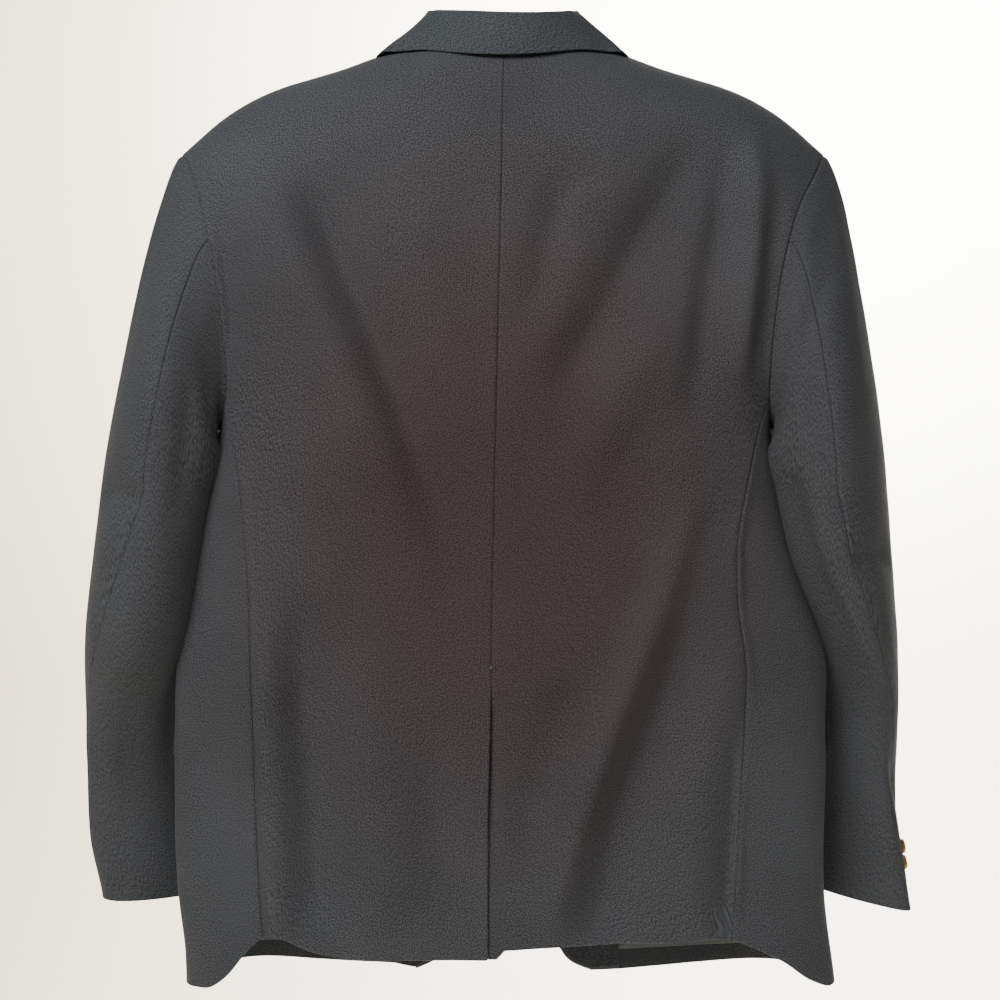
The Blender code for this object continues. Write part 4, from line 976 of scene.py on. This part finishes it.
# THE VENT
# A strip of the twill, sewn to the right half of the back, lies under both edges of the vent. A bar tack of
# dark thread holds the top of the opening.
UNDERLAP_COLUMNS, VENT_FOOT, LAYER_GAP = (-0.014, 0.038), -0.735, 0.0005
UNDERLAP_MOST, UNDERLAP_IN = 0.004, 0.0015  # its folds stand out no further, and it lies this much deeper
level = np.linspace(VENT_TOP, VENT_FOOT, 90)[:, None]
across = through(level, BACK_SEAM["level"], BACK_SEAM["across"]) + np.linspace(*UNDERLAP_COLUMNS, 24)[None]
level = level + 0 * across
turn = back_turn(across, level)
points, normal = body(turn, level), body_normal(turn, level)
out = np.minimum(back_relief(points), UNDERLAP_MOST) - CLOTH - LAYER_GAP - UNDERLAP_IN
points = points + normal * out[..., None]
cloth("vent_underlap", points, points * (1, 1, 0) + (0, 0.05, 0), wool,
      thick=LINING)


def ring_faces(index):
    """Four-sided faces between each ring of point numbers and the next."""
    after = np.roll(index, -1, axis=1)
    return np.stack([index[:-1], after[:-1], after[1:], index[1:]], -1).reshape(-1, 4)


def thread_piece(name, path, radius, material):
    """A round thread: a ring of eight points carried along a path, square to it, and closed at both ends."""
    ahead = unit(np.gradient(path, axis=0))
    across = unit(np.cross(ahead, (0.31, 0.22, 0.92)))
    third = np.cross(ahead, across)
    turn = np.linspace(0, 2 * np.pi, 9)[None, :-1, None]
    swell = np.minimum(1, np.sin(np.linspace(0.02, np.pi - 0.02, len(path))) * 6)[:, None, None]
    ring = path[:, None] + swell * radius * (across[:, None] * np.cos(turn) + third[:, None] * np.sin(turn))
    index = np.arange(ring.shape[0] * 8).reshape(-1, 8)
    faces = ring_faces(index).tolist() + [index[0, ::-1].tolist(), index[-1].tolist()]
    piece = put(name, smooth_mesh(name, ring, faces, material))
    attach(piece, "root")


# Spun polyester sewing thread, whose twist shows as slanting stripes of light and shade
thread, tree, shader = new_material("dark polyester thread")
twist = add_node(tree, "TexWave", {"bands_direction": "DIAGONAL"},
                 {"Vector": add_node(tree, "TexCoord").outputs["Object"], "Scale": 900.0}).outputs["Fac"]
shade = add_node(tree, "Mix", {"data_type": "RGBA"},
                 {"Factor": twist, 6: linear("#2c2f33"), 7: linear("#6a6d70")})
tree.links.new(shade.outputs[2], shader.inputs["Base Color"])
shader.inputs["Roughness"].default_value = 0.6
TACK = {"from": 0.0087, "wide": 0.0026, "top": VENT_TOP + 0.0040, "tall": 0.0022, "stitches": 9,
        "out": 0.0014, "radius": 0.00022}
share = np.linspace(0, 1, 160)
across = TACK["from"] + TACK["wide"] * np.abs((share * TACK["stitches"]) % 2 - 1)
level = TACK["top"] - TACK["tall"] * share
turn = back_turn(across, level)
points = body(turn, level)
path = points + body_normal(turn, level) * (TACK["out"] + back_relief(points))[..., None]
thread_piece("vent_bar_tack", path, TACK["radius"], thread)


# THE BUTTONS
# Brass buttons stamped from sheet, each a low dome inside a rolled rim with a dull groove between them. Two
# are on the left front and two on each cuff, all of them plain.
FRONT_BUTTONS = table("level radius height", ((-0.428, 0.0105, 0.0045), (-0.540, 0.0105, 0.0045)))
CUFF_BUTTONS = table("level radius height", ((-0.667, 0.0068, 0.0040), (-0.681, 0.0068, 0.0040)))
CUFF_BUTTON_ANGLE = {1: -30.0, -1: -3.0}
BUTTON_PROFILE = table("radius height", (
    (0.0, 0.00), (0.55, 0.00), (0.88, 0.02), (0.985, 0.22), (1.0, 0.48), (0.96, 0.78), (0.90, 0.86),
    (0.84, 0.78), (0.79, 0.62), (0.72, 0.66), (0.52, 0.84), (0.26, 0.96), (0.0, 1.0)))
PROFILE_POINTS, ROUND_POINTS = 60, 64
# Brass sheet, stamped and left to dull: a soft yellow shine, browner and duller in the groove round the dome
brass, tree, shader = new_material("stamped brass")
profile_place = add_node(tree, "UVMap", {"uv_map": "cloth"}).outputs["UV"]
ringed = add_node(tree, "SeparateXYZ", None, {"Vector": profile_place})
groove = add_node(tree, "MapRange", {"interpolation_type": "SMOOTHSTEP"},
                  {"Value": ringed.outputs["X"], "From Min": 0.58, "From Max": 0.68}).outputs[0]
place = add_node(tree, "TexCoord").outputs["Object"]
grime = add_node(tree, "TexNoise", None, {"Vector": place, "Scale": 420.0, "Detail": 3.0}).outputs["Fac"]
worn = add_node(tree, "Mix", {"data_type": "RGBA"},
                {"Factor": grime, 6: linear("#8f7238"), 7: linear("#c7a35a")})
dull = add_node(tree, "Math", {"operation": "MULTIPLY"}, {0: groove, 1: 0.35}).outputs[0]
dulled = add_node(tree, "Mix", {"data_type": "RGBA", "blend_type": "MULTIPLY"},
                  {"Factor": dull, 6: worn.outputs[2], 7: linear("#7d6a45")})
tree.links.new(dulled.outputs[2], shader.inputs["Base Color"])
tree.links.new(add_node(tree, "MapRange", None, {"Value": grime, "To Min": 0.28, "To Max": 0.50}).outputs[0],
               shader.inputs["Roughness"])
shader.inputs["Metallic"].default_value = 1.0


def brass_button(name, place, normal, radius, height):
    """A profile turned round the button's own axis: the point at radius r and height h goes to
    place + r (cos, sin) across the axis + h along it."""
    share = np.linspace(0, 12, PROFILE_POINTS)
    r = through(share, np.arange(13), BUTTON_PROFILE["radius"]) * radius
    h = through(share, np.arange(13), BUTTON_PROFILE["height"]) * height + LAYER_GAP
    r[[0, -1]] = 0.0
    across = unit(np.cross(normal, (0.0, 0.0, 1.0)))
    third = np.cross(normal, across)
    turn = np.linspace(0, 2 * np.pi, ROUND_POINTS + 1)[None, :-1, None]
    round_axis = across * np.cos(turn) + third * np.sin(turn)
    points = place + r[:, None, None] * round_axis + h[:, None, None] * normal
    index = np.arange(PROFILE_POINTS * ROUND_POINTS).reshape(PROFILE_POINTS, ROUND_POINTS)
    after = np.roll(index, -1, axis=1)
    fan = np.stack([np.full(ROUND_POINTS, index[0, 0]), after[1], index[1]], -1)
    cap = np.stack([np.full(ROUND_POINTS, index[-1, 0]), index[-2], after[-2]], -1)
    mesh = smooth_mesh(name, points, ring_faces(index[1:-1]).tolist() + fan.tolist() + cap.tolist(), brass)
    corner = np.zeros(len(mesh.loops), np.int64)
    mesh.loops.foreach_get("vertex_index", corner)
    set_uv(mesh, np.stack([corner // ROUND_POINTS / (PROFILE_POINTS - 1),
                           corner % ROUND_POINTS / ROUND_POINTS], -1))
    spare = [*index[0, 1:].tolist(), *index[-1, 1:].tolist()]
    made = bmesh.new()
    made.from_mesh(mesh)
    made.verts.ensure_lookup_table()
    bmesh.ops.delete(made, geom=[made.verts[i] for i in spare], context="VERTS")
    bmesh.ops.recalc_face_normals(made, faces=made.faces)
    made.to_mesh(mesh)
    made.free()
    piece = put(name + "_brass", mesh)
    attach(piece, "root")
    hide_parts(name)


for number, (level, radius, height) in enumerate(zip(*FRONT_BUTTONS.values()), 1):
    middle, level = np.array(0.0), np.array(level)
    brass_button(f"front_button_{number}", over_front(1, middle, level, 0.0),
                 body_normal(front_turn(1, middle, level), level), radius, height)
for side in (1, -1):
    for number, (level, radius, height) in enumerate(zip(*CUFF_BUTTONS.values()), 1):
        angle = np.array(CUFF_BUTTON_ANGLE[side])
        level = np.array(level)
        round_step = tube(side, angle + 1, level) - tube(side, angle - 1, level)
        down_step = tube(side, angle, level - 0.004) - tube(side, angle, level + 0.004)
        normal = unit(np.cross(down_step, round_step)) * side
        place = tube(side, angle, level)
        brass_button(f"cuff_button_{side_name(side)}_{number}", place, normal, radius, height)


# THE STUDIO
# A pale floor that curves up into a backdrop well behind, a large soft light from the upper left, a weak one
# from the right, and one on the backdrop. The camera looks level at the middle of the back from 1.2 m.
FLOOR_LEVEL, WALL_PLACE, SWEEP, FLOOR_END, WALL_TOP, HALF_WIDE = -1.65, -2.6, 0.8, 4.0, 4.0, 5.0


def backdrop_points():
    """A sweep: floor, quarter circle and wall, carried straight across."""
    angle = np.linspace(0, np.pi / 2, 24)
    curve = np.stack([WALL_PLACE + SWEEP * (1 - np.sin(angle)),
                      FLOOR_LEVEL + SWEEP * (1 - np.cos(angle))], -1)
    profile = np.concatenate([[(FLOOR_END, FLOOR_LEVEL)], curve, [(WALL_PLACE, WALL_TOP)]])
    across = np.linspace(-HALF_WIDE, HALF_WIDE, 3)
    return np.stack([across[None] + 0 * profile[:, :1], profile[:, :1] + 0 * across[None],
                     profile[:, 1:] + 0 * across[None]], -1)


# Matt paper in a wide roll, white at the right; towards +X, the window's side, its colour is painted darker
# and yellower: painted shade of the uneven light on the backdrop
paper, tree, shader = new_material("matt backdrop paper")
place = add_node(tree, "TexCoord").outputs["Object"]
sideways = add_node(tree, "SeparateXYZ", None, {"Vector": place}).outputs["X"]
share = add_node(tree, "MapRange", {"interpolation_type": "SMOOTHSTEP"},
                 {"Value": sideways, "From Min": -0.9, "From Max": 1.6}).outputs[0]
# Painted shade: the paper's colour grows darker and yellower towards +X
painted_dimming = add_node(tree, "Mix", {"data_type": "RGBA"},
                {"Factor": share, 6: linear("#fbfaf8"), 7: linear("#e9e0cd")})
tree.links.new(painted_dimming.outputs[2], shader.inputs["Base Color"])
shader.inputs["Roughness"].default_value = 0.9
grid = backdrop_points()
faces = grid_faces(np.arange(grid.shape[0] * grid.shape[1]).reshape(grid.shape[:2])).tolist()
put("floor", smooth_mesh("floor", grid, faces, paper))


def soft_light(name, place, aim, size, power, colour):
    """A square area light at a place, turned to face a point."""
    light = bpy.data.lights.new(name, "AREA")
    light.shape = "SQUARE"
    light.size, light.energy = size, power
    light.color = linear(colour)[:3]
    lamp = put(name, light)
    lamp.location = place
    lamp.rotation_euler = (Vector(aim) - Vector(place)).to_track_quat("-Z", "Y").to_euler()


soft_light("window", (1.2, 1.85, 1.3), (0.0, 0.0, -0.35), 1.6, 78.0, "#ffffff")
soft_light("room", (-1.5, 2.1, 0.6), (0.0, 0.0, -0.4), 1.2, 9.0, "#fff6ea")
soft_light("wall", (-0.9, -1.0, 0.9), (-0.45, -2.6, 0.55), 1.6, 560.0, "#fffaf2")
world = bpy.data.worlds.new("studio")
world.use_nodes = True
world.node_tree.nodes["Background"].inputs["Color"].default_value = linear("#fbf8f2")
world.node_tree.nodes["Background"].inputs["Strength"].default_value = 0.06
bpy.context.scene.world = world

HALF_VIEW, DISTANCE, SENSOR = 0.41, 1.2, 36.0       # metres seen each way from the middle, at this distance
camera = bpy.data.cameras.new("camera")
camera.sensor_width, camera.lens = SENSOR, SENSOR / 2 / (HALF_VIEW / DISTANCE)
eye = put("camera", camera)
eye.location = (0.0025, 1.265, -0.367)
eye.rotation_euler = (np.pi / 2, 0, np.pi)
bpy.context.scene.camera = eye
